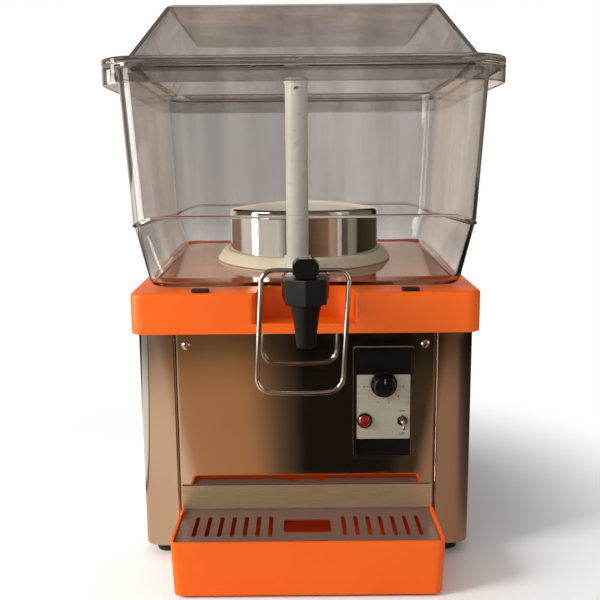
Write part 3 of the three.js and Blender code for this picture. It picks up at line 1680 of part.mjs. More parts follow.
function makeFanBlade() {
  let fan = bar('y', fanHubRadius, 0, fanHubDepth, [0, 0]);
  for (let i = 0; i < fanBlades; i += 1) {
    const plan = new THREE.Shape([
      point2(fanHubRadius / 2, -fanBladeWidth / 4),
      point2(fanRadius * fanBladeShoulder_share, -fanBladeWidth / 2),
      point2(fanRadius, 0),
      point2(fanRadius * fanBladeShoulder_share, fanBladeWidth / 2),
      point2(fanHubRadius / 2, fanBladeWidth / 4),
    ]);
    const blade = raised(plan, -fanBladeSheet / 2, fanBladeSheet / 2);
    blade.rotateX(Math.PI / 2 - THREE.MathUtils.degToRad(fanPitchAngle));
    blade.translate(0, fanHubDepth / 2, 0).rotateY((2 * Math.PI * i) / fanBlades);
    fan = fan.add(solid(blade));
  }
  const keep = bar('y', fanRadius, 0, fanHubDepth, [0, 0], roundSides);
  const shaftBore = bore('y', motorShaftRadius + gap, -overrun, fanHubDepth / 2, [0, 0]);
  const trimmed = cut(fan.intersect(keep), shaftBore);
  piece('fan_blade', trimmed.translate(condenserX, fanFront, fanZ), aluminium);
}

function makeFanMotor() {
  const ys = [fanMotorBack - fanMotorDepth, fanMotorBack];
  const can = bar('y', fanMotorRadius, ...ys, [condenserX, fanZ]);
  const shaftEnd = fanFront + fanHubDepth / 2 - gap;
  const shaft = bar('y', motorShaftRadius, ys[0], shaftEnd, [condenserX, fanZ], smallSides);
  const standY = [ys[0] + fanStandSheet, ys[0] + 2 * fanStandSheet];
  const stand = block(centred(fanStandWidth, condenserX), standY, [panTop + gap, fanZ]);
  const foot = block(
    centred(fanStandWidth, condenserX),
    [standY[0], standY[0] + fanStandFoot],
    [panTop + gap, panTop + gap + fanStandSheet],
  );
  piece('fan_motor', join(can, shaft, stand, foot), enamelBlack);
}

makeFeet();
makeBasePan();
makeSidePanel('side_panel_left', -1);
makeSidePanel('side_panel_right', 1);
makeFrontPanel();
makePanelScrew('panel_screw_left', -1);
makePanelScrew('panel_screw_right', 1);
makeRearPanel();
makeCordGland();
makeDeck();
makeDeckPad('deck_pad_left', -1);
makeDeckPad('deck_pad_right', 1);
makeDrum();
makeGasket();
makeBowl();
makeLid();
makeSprayTube();
makePumpCover();
makeImpeller();
makeDriveMagnet();
makePumpMotor();
makeMotorBracket();
makeTapBody();
makeOutletSeal();
makeTapHead();
makePlunger();
makeValveSpring();
makeHandleWire();
makeLiftFork();
makeBezel();
makeControlPlate();
makeDialPlate();
makeThermostat();
makeKnob();
makePilotLamp();
makeToggleBody();
makeToggleNut();
makeToggleLever();
makeTray();
makeGrille();
makeCompressor();
makeCondenser();
makeFanMotor();
makeFanBlade();

export default machine;
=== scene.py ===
import math

import bmesh
import bpy
from mathutils import Matrix, Vector


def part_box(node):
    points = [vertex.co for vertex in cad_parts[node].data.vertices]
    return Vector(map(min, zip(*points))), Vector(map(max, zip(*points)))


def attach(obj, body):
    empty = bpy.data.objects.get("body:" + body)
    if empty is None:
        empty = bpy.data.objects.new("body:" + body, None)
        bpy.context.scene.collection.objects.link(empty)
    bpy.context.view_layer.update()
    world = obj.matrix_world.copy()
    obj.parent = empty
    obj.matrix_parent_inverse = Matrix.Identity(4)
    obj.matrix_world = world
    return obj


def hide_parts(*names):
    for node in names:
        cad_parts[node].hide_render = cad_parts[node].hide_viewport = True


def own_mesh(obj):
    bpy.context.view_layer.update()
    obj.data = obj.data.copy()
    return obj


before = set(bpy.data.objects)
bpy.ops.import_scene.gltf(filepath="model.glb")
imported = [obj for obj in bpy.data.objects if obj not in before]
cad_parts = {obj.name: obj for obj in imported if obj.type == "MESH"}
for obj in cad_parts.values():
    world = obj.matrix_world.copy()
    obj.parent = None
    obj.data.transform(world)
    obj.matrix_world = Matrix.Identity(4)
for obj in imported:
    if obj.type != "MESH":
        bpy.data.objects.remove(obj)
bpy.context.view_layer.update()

# Sizes are in millimetres, with Y counted from the face of the front panel, as on the CAD side.
MM = 0.001
Y_SHIFT = -146.0
GAP = 0.3
PI = math.pi
DECK_SLOPE = 0.05

# ---------------------------------------------------------------- mesh tools


def to_metres(point):
    return (point[0] * MM, (point[1] + Y_SHIFT) * MM, point[2] * MM)


def place(name, data):
    obj = bpy.data.objects.new(name, data)
    bpy.context.scene.collection.objects.link(obj)
    return obj


def mesh_object(name, points, faces):
    mesh = bpy.data.meshes.new(name)
    mesh.from_pydata([to_metres(p) for p in points], [], faces)
    obj = place(name, mesh)
    weld(obj)
    return obj


def weld(obj):
    bm = bmesh.new()
    bm.from_mesh(obj.data)
    bmesh.ops.remove_doubles(bm, verts=bm.verts, dist=2e-7)
    bmesh.ops.dissolve_degenerate(bm, edges=bm.edges, dist=1e-7)
    bmesh.ops.recalc_face_normals(bm, faces=bm.faces)
    bm.to_mesh(obj.data)
    bm.free()


def loft(name, rings, closed=False):
    """A closed skin through rings of equal length; closed joins the last ring to the first."""
    count = len(rings[0])
    points = [p for ring_points in rings for p in ring_points]
    faces = []
    last = len(rings) if closed else len(rings) - 1
    for level in range(last):
        low = level * count
        high = ((level + 1) % len(rings)) * count
        for i in range(count):
            j = (i + 1) % count
            faces.append((low + i, low + j, high + j, high + i))
    if not closed:
        faces.append(tuple(reversed(range(count))))
        faces.append(tuple(range((len(rings) - 1) * count, len(rings) * count)))
    return mesh_object(name, points, faces)


def arc(cx, cy, radius, start, end, steps):
    return [
        (cx + radius * math.cos(a), cy + radius * math.sin(a))
        for a in (start + (end - start) * i / steps for i in range(steps + 1))
    ]


def rounded(width, height, radius, steps, cx, cy):
    """Outline of a rounded rectangle, anticlockwise from the right side's foot."""
    out = []
    for sx, sy, quarter in ((1, 1, 0), (-1, 1, 1), (-1, -1, 2), (1, -1, 3)):
        x = cx + sx * (width / 2 - radius)
        y = cy + sy * (height / 2 - radius)
        out += arc(x, y, radius, quarter * PI / 2, (quarter + 1) * PI / 2, steps)
    return out


def hexagon(half, cx, cy):
    """A hexagon with two upright sides, half away from its middle."""
    return arc(cx, cy, half / math.cos(PI / 6), PI / 6, 11 * PI / 6, 5)


def ring(width, front, back, radius, height_at, steps=10):
    """A rounded rectangle in X and Y, whose height may depend on Y and on the way the wall faces.

    That way is 1 for a side and 0 for the front or the back.
    """
    flat = rounded(width, back - front, radius, steps, 0, (front + back) / 2)
    out = []
    for i, (x, y) in enumerate(flat):
        quarter, step = divmod(i, steps + 1)
        facing = math.cos((quarter + step / steps) * PI / 2) ** 2
        out.append((x, y, height_at(y, facing)))
    return out


def prism(name, outline, low, high, axis="z"):
    """An outline run along an axis: (x, y) along z, (x, z) along y, (y, z) along x."""
    place = {
        "z": lambda u, v, w: (u, v, w),
        "y": lambda u, v, w: (u, w, v),
        "x": lambda u, v, w: (w, u, v),
    }[axis]
    return loft(name, [[place(u, v, w) for u, v in outline] for w in (low, high)])


def lathe(name, profile, at=(0, 0, 0), axis="z", sides=64, closed=False, slope=0.0):
    """A profile of (radius, height) turned about an axis; slope leans it with the deck."""
    rings = []
    for radius, height in profile:
        points = []
        for i in range(sides):
            a = 2 * PI * i / sides
            u, v = radius * math.cos(a), radius * math.sin(a)
            if axis == "z":
                y = at[1] + v
                points.append((at[0] + u, y, at[2] + height + slope * y))
            elif axis == "y":
                points.append((at[0] + u, at[1] + height, at[2] + v))
            else:
                points.append((at[0] + height, at[1] + u, at[2] + v))
        rings.append(points)
    return loft(name, rings, closed)


def box(name, xs, ys, zs):
    outline = [(xs[0], ys[0]), (xs[1], ys[0]), (xs[1], ys[1]), (xs[0], ys[1])]
    return prism(name, outline, zs[0], zs[1])


def rod(name, radius, low, high, at, axis="z", sides=24):
    """A solid cylinder, mostly a tool for a round hole."""
    return lathe(name, [(0, low), (radius, low), (radius, high), (0, high)], at, axis, sides)


def tube(name, path, radius, sides=16):
    """A round wire along points, with flat ends."""
    points = [Vector(p) for p in path]
    tangents = []
    for i in range(len(points)):
        a = points[max(i - 1, 0)]
        b = points[min(i + 1, len(points) - 1)]
        tangents.append((b - a).normalized())
    up = tangents[0].orthogonal().normalized()
    rings = []
    for i, (point, tangent) in enumerate(zip(points, tangents)):
        up = (up - tangent * up.dot(tangent)).normalized()
        side = tangent.cross(up)
        rings.append([
            tuple(point + (up * math.cos(a) + side * math.sin(a)) * radius)
            for a in (2 * PI * j / sides for j in range(sides))
        ])
    return loft(name, rings)


def apply_modifiers(obj):
    graph = bpy.context.evaluated_depsgraph_get()
    mesh = bpy.data.meshes.new_from_object(obj.evaluated_get(graph))
    old = obj.data
    obj.modifiers.clear()
    obj.data = mesh
    bpy.data.meshes.remove(old)


def combine(obj, others, operation):
    for other in others:
        mod = obj.modifiers.new("combine", "BOOLEAN")
        mod.operation = operation
        mod.solver = "MANIFOLD"
        mod.object = other
        apply_modifiers(obj)
        bpy.data.objects.remove(other)
    return obj


def cut(obj, *others):
    return combine(obj, others, "DIFFERENCE")


def add(obj, *others):
    return combine(obj, others, "UNION")


def bevel(obj, width, segments=3, angle=35):
    mod = obj.modifiers.new("bevel", "BEVEL")
    mod.width = width * MM
    mod.segments = segments
    mod.limit_method = "ANGLE"
    mod.angle_limit = math.radians(angle)
    mod.use_clamp_overlap = True
    mod.miter_outer = "MITER_ARC"
    apply_modifiers(obj)


def put(obj, body, material, nodes=(), smooth=30):
    """Finishes a piece: smooth shading, material, body and the CAD nodes it stands for."""
    weld(obj)
    for polygon in obj.data.polygons:
        polygon.use_smooth = True
    obj.data.set_sharp_from_angle(angle=math.radians(smooth))
    flatten = obj.modifiers.new("flatten", "WEIGHTED_NORMAL")
    flatten.keep_sharp = True
    flatten.weight = 100
    apply_modifiers(obj)
    obj.data.materials.clear()
    obj.data.materials.append(material)
    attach(obj, body)
    if nodes:
        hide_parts(*nodes)


# ---------------------------------------------------------------- materials

WHITE = (1.0, 1.0, 1.0, 1.0)


def srgb(red, green, blue):
    def linear(value):
        share = value / 255
        return share / 12.92 if share <= 0.04045 else ((share + 0.055) / 1.055) ** 2.4
    return (linear(red), linear(green), linear(blue), 1.0)


class Nodes:
    """A shader tree whose nodes take values or other nodes' outputs as their inputs."""

    def __init__(self, owner):
        owner.use_nodes = True
        self.tree = owner.node_tree

    def feed(self, node, inputs):
        for key, value in inputs.items():
            if isinstance(value, bpy.types.NodeSocket):
                self.tree.links.new(value, node.inputs[key])
            else:
                node.inputs[key].default_value = value

    def make(self, kind, inputs=None, **settings):
        node = self.tree.nodes.new("ShaderNode" + kind)
        for key, value in settings.items():
            setattr(node, key, value)
        self.feed(node, inputs or {})
        return node

    def end(self, inputs, output="Material Output"):
        self.feed(self.tree.nodes[output], inputs)

    def math(self, operation, *values):
        return self.make("Math", dict(enumerate(values)), operation=operation).outputs[0]

    def mix(self, share, first, second):
        return self.make("MixShader", {0: share, 1: first.outputs[0], 2: second.outputs[0]}).outputs[0]

    def spread(self, source, low, high, start=0.3, end=0.7, ease="LINEAR"):
        """Maps start to end, by default a texture's middle range, to low to high."""
        inputs = {"Value": source, "From Min": start, "From Max": end, "To Min": low, "To Max": high}
        return self.make("MapRange", inputs, interpolation_type=ease).outputs["Result"]

    def ramp(self, source, stops):
        """The colour that a row of (position, colour) stops has at the source's value."""
        ramp = self.make("ValToRGB", {"Fac": source})
        elements = ramp.color_ramp.elements
        while len(elements) < len(stops):
            elements.new(0.5)
        for element, (position, color) in zip(elements, stops):
            element.position = position
            element.color = color
        return ramp.outputs["Color"]

    def distance(self):
        """How far a point lies from the origin."""
        place = self.make("NewGeometry").outputs["Position"]
        return self.make("VectorMath", {0: place}, operation="LENGTH").outputs["Value"]

    def rays(self, *kinds):
        """1 for a ray of any of these kinds."""
        path = self.make("LightPath").outputs
        total = path[kinds[0]]
        for kind in kinds[1:]:
            total = self.math("MAXIMUM", total, path[kind])
        return total

    def seen(self):
        """1 for a ray that shows the backdrop."""
        return self.rays("Is Camera Ray", "Is Glossy Ray", "Is Transmission Ray")


class Surface(Nodes):
    """A Principled material with helpers for procedural detail, in metres of object space."""

    def __init__(self, name, color, roughness, metallic=0.0, extra=None):
        self.material = bpy.data.materials.new(name)
        super().__init__(self.material)
        self.shader = self.tree.nodes["Principled BSDF"]
        self.coords = self.make("TexCoord").outputs["Object"]
        self.set({"Base Color": color, "Roughness": roughness, "Metallic": metallic, **(extra or {})})

    def set(self, inputs):
        self.feed(self.shader, inputs)

    def noise(self, scale, detail, stretch=(1, 1, 1)):
        mapping = self.make("Mapping", {"Vector": self.coords, "Scale": stretch})
        inputs = {"Vector": mapping.outputs["Vector"], "Scale": scale, "Detail": detail}
        return self.make("TexNoise", inputs).outputs["Fac"]

    def height(self, slope=0.0):
        """How high a point lies over the plane that rises backwards by slope."""
        inputs = {0: self.coords, 1: (0.0, -slope, 1.0)}
        return self.make("VectorMath", inputs, operation="DOT_PRODUCT").outputs["Value"]

    def tint(self, source, *stops):
        self.set({"Base Color": self.ramp(source, stops)})

    def rough(self, source, low, high):
        self.set({"Roughness": self.spread(source, low, high)})

    def bump(self, source, strength, distance):
        inputs = {"Height": source, "Strength": strength, "Distance": distance * MM}
        self.set({"Normal": self.make("Bump", inputs).outputs["Normal"]})


def speckled(name, color, roughness, metallic, tint, rough, bump, extra=None):
    """A material of three noises, each given by its scale and detail and then by its range.

    The ranges are two colours, two roughnesses, and the strength and the depth in mm of the bumps.
    """
    s = Surface(name, srgb(*color), roughness, metallic, extra)
    scale, detail, dark, light = tint
    s.tint(s.noise(scale, detail), (0.3, srgb(*dark)), (0.7, srgb(*light)))
    if rough:
        s.rough(s.noise(*rough[:2]), *rough[2:])
    s.bump(s.noise(*bump[:2]), *bump[2:])
    return s.material


def brushed_steel():
    s = Surface("brushed_steel", srgb(168, 156, 142), 0.3, 1.0)
    streak = s.noise(8, 3, (6, 260, 260))
    s.bump(streak, 0.15, 0.04)
    s.rough(streak, 0.22, 0.36)
    s.tint(s.noise(24, 3), (0.3, srgb(160, 148, 134)), (0.7, srgb(175, 164, 150)))
    return s.material


def grille_steel():
    """Brushed steel, a little redder and darker on the flat plate than on its upstand, which is a painted
    reflection.
    """
    s = Surface("grille_steel", srgb(150, 126, 110), 0.34, 0.6)
    streak = s.noise(8, 3, (6, 260, 260))
    plate_top, upstand_foot = 0.0575, 0.0595
    # Painted reflection: the upstand is coloured paler and yellower than the flat plate.
    upstand = s.spread(s.height(), 0, 0.5, plate_top, upstand_foot)
    s.tint(
        s.math("ADD", upstand, s.spread(streak, 0, 0.5)), (0.0, srgb(142, 108, 100)),
        (0.45, srgb(160, 128, 118)), (0.55, srgb(182, 163, 126)), (1.0, srgb(200, 182, 145)),
    )
    s.bump(streak, 0.15, 0.04)
    s.rough(streak, 0.28, 0.4)
    return s.material


def silver_plate():
    s = Surface("silver_plate", srgb(190, 185, 170), 0.36, 0.4)
    grain = s.noise(10, 3, (5, 300, 300))
    s.tint(grain, (0.3, srgb(180, 175, 160)), (0.7, srgb(201, 196, 182)))
    s.rough(grain, 0.3, 0.44)
    s.bump(grain, 0.1, 0.03)
    return s.material


def zinc_sheet():
    s = Surface("zinc_sheet", srgb(158, 160, 162), 0.45, 0.85)
    cells = s.make("TexVoronoi", {"Vector": s.coords, "Scale": 110})
    s.tint(cells.outputs["Color"], (0.2, srgb(142, 145, 148)), (0.8, srgb(172, 174, 175)))
    s.rough(s.noise(60, 3), 0.36, 0.55)
    s.bump(s.noise(240, 3), 0.1, 0.05)
    return s.material


def clear_plastic(name, middle):
    """Smoky round its middle level of light let through, a tint that is partly the plastic's own and partly
    painted shade, and clearer towards the bowl's floor, which is painted light on what is seen through the
    floor.
    """
    # The smoky tint is partly the plastic's own colour and partly painted shade.
    def smoke_and_painted_shade(level):
        return level, level * 0.963, level * 0.94, 1.0

    s = Surface(name, smoke_and_painted_shade(middle), 0.02, extra={"Transmission Weight": 1.0, "IOR": 1.47})
    streak = s.spread(s.noise(16, 3, (1, 1, 0.1)), 0, 0.5, 0.36, 0.64)
    floor_level, wall_level = 0.32, 0.35
    # Painted light: the tint clears towards the bowl's floor, so that the deck under it shows lighter.
    foot = s.spread(s.height(DECK_SLOPE), 0.6, 0, floor_level, wall_level)
    s.tint(
        s.math("ADD", streak, foot),
        (0.0, smoke_and_painted_shade(middle - 0.1)), (0.5, smoke_and_painted_shade(middle + 0.1)), (1.0, smoke_and_painted_shade(0.95)),
    )
    s.bump(s.noise(14, 2), 0.16, 0.25)
    s.rough(s.noise(45, 4), 0.008, 0.04)
    # Lamps, soft light and reflections pass straight through the walls to what is inside.
    straight = s.rays("Is Shadow Ray", "Is Diffuse Ray", "Is Reflection Ray")
    clear = s.make("BsdfTransparent", {"Color": (0.985, 0.982, 0.978, 1.0)})
    smoke = s.make("VolumeAbsorption", {"Color": (0.24, 0.2, 0.16, 1.0), "Density": 30.0})
    s.end({"Surface": s.mix(straight, s.shader, clear), "Volume": smoke.outputs[0]})
    return s.material


MIRROR = speckled(
    "mirror_steel", (206, 196, 186), 0.05, 1.0,
    (6, 2, (206, 196, 186), (219, 211, 203)), (38, 4, 0.03, 0.08), (9, 1, 0.25, 0.3),
)
DRUM = speckled(
    "drum_steel", (232, 229, 224), 0.05, 1.0,
    (6, 2, (232, 229, 224), (243, 241, 237)), (38, 4, 0.03, 0.08), (9, 1, 0.25, 0.3),
)
BRUSHED = brushed_steel()
GRILLE = grille_steel()
ORANGE = speckled(
    "orange_plastic", (242, 99, 7), 0.34, 0.0,
    (9, 2, (239, 96, 6), (245, 102, 9)), (60, 4, 0.3, 0.4), (1100, 2, 0.06, 0.02),
    {"Specular IOR Level": 0.35},
)
# Both clear plastics carry a smoky tint that is partly their own colour and partly painted shade; the lid's
# is darker.
CLEAR = clear_plastic("clear_plastic", 0.68)
LID_SMOKE_AND_SHADE = clear_plastic("lid_plastic", 0.62)
MILKY = speckled(
    "milky_plastic", (243, 247, 238), 0.3, 0.0,
    (18, 2, (240, 244, 234), (246, 250, 242)), (80, 3, 0.26, 0.36), (300, 2, 0.08, 0.03),
    {"Transmission Weight": 0.12, "IOR": 1.45},
)
BLACK = speckled(
    "black_plastic", (11, 10, 9), 0.32, 0.0,
    (40, 4, (9, 8, 7), (14, 13, 12)), (90, 4, 0.3, 0.44), (700, 3, 0.08, 0.04),
    {"Specular IOR Level": 0.3},
)
FOOT = speckled(
    "foot_rubber", (16, 15, 15), 0.7, 0.0,
    (70, 4, (16, 15, 15), (27, 26, 25)), (120, 3, 0.62, 0.78), (900, 3, 0.2, 0.06),
)
BEIGE = speckled(
    "beige_rubber", (250, 238, 204), 0.7, 0.0,
    (70, 4, (250, 238, 204), (254, 245, 218)), (120, 3, 0.45, 0.61), (900, 3, 0.2, 0.06),
)
SILVER = silver_plate()
LENS = speckled(
    "red_lens", (150, 16, 18), 0.14, 0.0,
    (220, 2, (132, 13, 16), (164, 24, 24)), None, (320, 1, 0.2, 0.1),
    {"Transmission Weight": 0.35, "Coat Weight": 0.6, "Coat Roughness": 0.05},
)
CHROME = speckled(
    "chrome_trim", (222, 218, 212), 0.07, 1.0,
    (30, 2, (214, 209, 202), (227, 224, 219)), (90, 4, 0.05, 0.13), (120, 2, 0.08, 0.04),
)
ZINC = zinc_sheet()
ENAMEL = speckled(
    "black_enamel", (30, 30, 32), 0.35, 0.1,
    (50, 4, (24, 24, 26), (38, 38, 40)), (140, 3, 0.3, 0.48), (260, 2, 0.2, 0.1),
)
FINS = speckled(
    "cooling_aluminium", (190, 193, 196), 0.4, 0.95,
    (80, 3, (176, 179, 182), (200, 203, 206)), (100, 3, 0.34, 0.5), (500, 2, 0.1, 0.04),
)
MAGNET = speckled(
    "magnet_grey", (84, 86, 89), 0.5, 0.4,
    (160, 4, (74, 76, 79), (95, 97, 100)), (100, 3, 0.42, 0.6), (600, 2, 0.15, 0.05),
)

# The CAD nodes whose own shape is shown keep it, with these materials.
KEPT = {
    ZINC: ("base_pan", "rear_panel", "motor_bracket"),
    BLACK: ("impeller",),
    BEIGE: ("outlet_seal",),
    MAGNET: ("drive_magnet",),
    ENAMEL: ("pump_motor", "compressor", "fan_motor"),
    BRUSHED: ("lift_fork", "thermostat", "valve_plunger"),
    FINS: ("condenser", "fan_blade"),
    CHROME: ("toggle_body",),
}
for kept_material, names in KEPT.items():
    for kept_name in names:
        node_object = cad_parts[kept_name]
        node_object.data.materials.clear()
        node_object.data.materials.append(kept_material)

# ---------------------------------------------------------------- camera

CAMERA_AT = (-0.0058, -0.9546, 0.4234)
CAMERA_PITCH = 9.21
CAMERA_ROLL = -0.5
CAMERA_LENS = 46.04

camera_data = bpy.data.cameras.new("camera")
camera_data.lens = CAMERA_LENS
camera_data.sensor_width = 36
camera_data.clip_start = 0.01
camera = place("camera", camera_data)
camera.matrix_world = (
    Matrix.Translation(CAMERA_AT)
    @ Matrix.Rotation(math.radians(90 - CAMERA_PITCH), 4, "X")
    @ Matrix.Rotation(math.radians(CAMERA_ROLL), 4, "Z")
)
bpy.context.scene.camera = camera
bpy.context.scene.view_settings.view_transform = "Standard"

# ---------------------------------------------------------------- cabinet

CABINET_WIDTH = 366.0
CABINET_DEPTH = 372.0
FOOT_HEIGHT = 14.0
CABINET_TOP = 264.0
PAN_TOP = 15.5
CORNER = 20.0
SHEET = 1.2
FOLD = 2.5
FLANGE = 12.0
PILLAR = 42.0
SCREW_X = 129.0
SCREW_Z = 243.5


def make_feet():
    profile = [
        (0, 7), (4, 7), (4, 0.5), (4.5, 0), (11.7, 0), (12.4, 0.4), (12.8, 1.2), (13.6, 6), (14.2, 6.4),
        (14.2, 7.2), (13.7, 7.7), (14.7, 12.9), (14.4, 13.4), (13.9, 13.7), (0, 13.7),
    ]
    for side, across in (("left", -160), ("right", 160)):
        for end, along in (("front", 26), ("rear", 346)):
            foot = lathe(f"foot_pad_{end}_{side}", profile, (across, along, 0), sides=40)
            put(foot, "cabinet", FOOT, [f"foot_{end}_{side}"])


def bent_sheet(name, corners, radii, low, high, thickness):
    """A sheet folded along a plan line, with round bends; the thickness lies to the left of the line."""
    path = []
    for i, corner in enumerate(corners):
        point = Vector(corner)
        if i in (0, len(corners) - 1):
            path.append(point)
            continue
        back = (Vector(corners[i - 1]) - point).normalized()
        on = (Vector(corners[i + 1]) - point).normalized()
        start = point + back * radii[i]
        end = point + on * radii[i]
        centre = start + end - point
        for step in range(13):
            turn = step / 12 * PI / 2
            path.append(centre + (start - centre) * math.cos(turn) + (end - centre) * math.sin(turn))
    inner = []
    for i, point in enumerate(path):
        before = (point - path[i - 1]).normalized() if i else (path[1] - path[0]).normalized()
        after = (path[i + 1] - point).normalized() if i + 1 < len(path) else before
        along = (before + after).normalized()
        reach = thickness / max(along.dot(after), 0.2)
        inner.append(point + Vector((-along.y, along.x)) * reach)
    outline = [tuple(p) for p in path] + [tuple(p) for p in reversed(inner)]
    return prism(name, outline, low, high)


def make_side(name, side, node):
    outer = side * CABINET_WIDTH / 2
    inner = outer - side * PILLAR
    corners = [(inner, FLANGE), (inner, 0), (outer, 0), (outer, CABINET_DEPTH)]
    panel = bent_sheet(name, corners, [0, FOLD, CORNER, 0], FOOT_HEIGHT, CABINET_TOP, side * SHEET)
    louvres = []
    for i in range(9):
        outline = rounded(70, 4, 1.99, 6, CABINET_DEPTH - 75, 56 + i * 11)
        louvres.append(prism("slot", outline, outer - 6, outer + 6, "x"))
    put(cut(panel, *louvres), "cabinet", MIRROR, [node])


def make_front():
    edge = CABINET_WIDTH / 2 - PILLAR - GAP
    corners = [(-edge, FLANGE), (-edge, 0), (edge, 0), (edge, FLANGE)]
    panel = bent_sheet("front_sheet", corners, [0, FOLD, FOLD, 0], PAN_TOP + GAP, CABINET_TOP, SHEET)
    x, z = PANEL
    window = box("window", (x - 27, x + 27), (-6, 6), (z - 56.5, z + 56.5))
    holes = [rod("hole", 2.4, -6, 6, (x, 0, SCREW_Z), "y") for x in (-SCREW_X, SCREW_X)]
    put(cut(panel, window, *holes), "cabinet", MIRROR, ["front_panel"])


def make_screws():
    profile = [
        (0, -2.3), (1.6, -2.3), (2.6, -2.1), (3.8, -1.5), (4.5, -0.8), (4.75, -0.2), (4.8, 0),
        (2, 0), (2, 9), (0, 9),
    ]
    for side, x in (("left", -SCREW_X), ("right", SCREW_X)):
        screw = lathe(f"screw_{side}", profile, (x, -GAP, SCREW_Z), "y", 40)
        socket = box("socket", (x - 0.45, x + 0.45), (-4, -1.5), (SCREW_Z - 2.8, SCREW_Z + 2.8))
        cross = box("cross", (x - 2.8, x + 2.8), (-4, -1.5), (SCREW_Z - 0.45, SCREW_Z + 0.45))
        cut(screw, socket, cross)
        put(screw, "cabinet", CHROME, [f"panel_screw_{side}"])


def make_gland():
    profile = [
        (4, -9), (7.6, -9), (8, -8.6), (8, 0.3), (11.4, 0.3), (12, 0.9), (12, 2.6), (11.5, 3),
        (9.6, 3.4), (8.2, 8.2), (7.4, 9), (4.6, 9), (4, 8.4),
    ]
    gland = lathe("gland_body", profile, (-130, CABINET_DEPTH, 40), "y", 40, closed=True)
    put(gland, "cabinet", FOOT, ["cord_gland"])


# ---------------------------------------------------------------- deck, drum and gasket

DECK_FRONT = -8.0
DECK_BACK = 382.0
DECK_WIDTH = 376.0
DECK_BOTTOM = 257.0
DECK_HEIGHT = 44.0
DECK_WALL = 3.0
NOTCH_FLOOR = 268.0
DRUM_AT = (0.0, 192.0, 0.0)
GASKET_FOOT = 3.0


def deck_top(y):
    return DECK_BOTTOM + DECK_HEIGHT + DECK_SLOPE * (y - DECK_FRONT)


def deck_ring(inset, height_at, steps=12):
    return ring(
        DECK_WIDTH - 2 * inset, DECK_FRONT + inset, DECK_BACK - inset, max(16 - inset, 1), height_at, steps,
    )


def notch_outline(grow, reach=6):
    half = 52 + grow
    back = DECK_FRONT + 46 + grow
    inner = 24 + grow
    mouth = 8 - grow
    outline = [(-half - mouth, DECK_FRONT - reach), (half + mouth, DECK_FRONT - reach)]
    outline += arc(half + mouth, DECK_FRONT + mouth, mouth, -PI / 2, -PI, 8)
    outline += arc(half - inner, back - inner, inner, 0, PI / 2, 12)
    outline += arc(-half + inner, back - inner, inner, PI / 2, PI, 12)
    outline += arc(-half - mouth, DECK_FRONT + mouth, mouth, 0, -PI / 2, 8)
    return outline


def make_deck():
    rings = [
        deck_ring(inset, lambda y, f, h=height: DECK_BOTTOM + h)
        for inset, height in ((1.2, 0), (0.3, 0.35), (0, 1.2))
    ]
    for i in range(7):
        angle = i / 6 * PI / 2
        inset = 4 * (1 - math.cos(angle))
        drop = 4 * (1 - math.sin(angle))
        rings.append(deck_ring(inset, lambda y, f, d=drop: deck_top(y) - d))
    deck = loft("deck_moulding", rings)
    low = loft("low", [
        deck_ring(3, lambda y, f: DECK_BOTTOM - 6, 6),
        deck_ring(3, lambda y, f: CABINET_TOP + GAP, 6),
    ])
    high = loft("high", [
        deck_ring(12, lambda y, f: CABINET_TOP - 1, 6),
        deck_ring(12, lambda y, f: deck_top(y) - DECK_WALL, 6),
    ])
    cavity = add(low, high)
    cut(cavity, prism("walls", notch_outline(DECK_WALL, 12), NOTCH_FLOOR - DECK_WALL, 340))
    notch = prism("notch", notch_outline(0), NOTCH_FLOOR, 340)
    cut(deck, cavity, notch, rod("hole", 95.5, 240, 340, DRUM_AT, sides=96))
    bevel(deck, 0.9, 2, 50)
    put(deck, "cabinet", ORANGE, ["deck"])
    for side, x in (("left", -112), ("right", 112)):
        pad_rings = []
        for inset, height in ((0.5, 0), (0, 0.5), (0, 2.6), (0.35, 3.1), (1, 3.4)):
            outline = rounded(19 - 2 * inset, 9 - 2 * inset, 2.4, 5, x, 0)
            pad_rings.append([(u, v, deck_top(0) + GAP + height + DECK_SLOPE * v) for u, v in outline])
        put(loft(f"pad_{side}", pad_rings), "cabinet", FOOT, [f"deck_pad_{side}"])


def make_drum():
    rim = 383.0
    foot = 288.0
    outer = [(95, foot), (95, 372), (94.3, 372.8), (94.3, 374.2), (95, 375)]
    outer += [(91 + r, rim - 4 + h) for r, h in arc(0, 0, 4, 0, PI / 2, 6)]
    dome = [(91 * (1 - i / 10), rim + 9 * (1 - (1 - i / 10) ** 2)) for i in range(1, 11)]
    inner = [(r, h - 1.5) for r, h in reversed(dome)]
    inner += [(r - 1.5, h - 1.2) for r, h in reversed(outer[1:])]
    inner += [(93.5, foot)]
    drum = lathe("drum_shell", outer + dome + inner, DRUM_AT, sides=128, closed=True)
    under = deck_top(0) - DECK_WALL - GAP
    profile = [(93.6, under - 2), (104, under - 2), (104, under), (93.6, under)]
    flange = lathe("flange", profile, DRUM_AT, sides=96, closed=True, slope=DECK_SLOPE)
    add(drum, flange)
    put(drum, "cabinet", DRUM, ["evaporator_drum"])


def make_gasket():
    foot = deck_top(0) + GAP
    floor = bowl_floor(0)
    top = floor + 13
    lip = foot + GASKET_FOOT
    profile = [
        (95.4, foot), (110.4, foot), (111, foot + 0.6), (111, foot + 2.4), (110.4, lip), (101.7, lip),
        (101.7, floor + 6.3), (105.3, floor + 6.3), (105.3, floor + GAP), (110.6, floor + GAP),
        (111, floor + 0.7), (111, floor + 2.2), (110.6, floor + 2.9), (104.6, top - 1.6),
        (103.9, top - 0.6), (102.8, top), (98.2, top), (97.4, top - 0.5), (96.6, top - 1.6),
        (95.4, top - 2.2),
    ]
    gasket = lathe("gasket_ring", profile, DRUM_AT, sides=96, closed=True, slope=DECK_SLOPE)
    put(gasket, "bowl", BEIGE, ["drum_gasket"])


# ---------------------------------------------------------------- bowl and lid

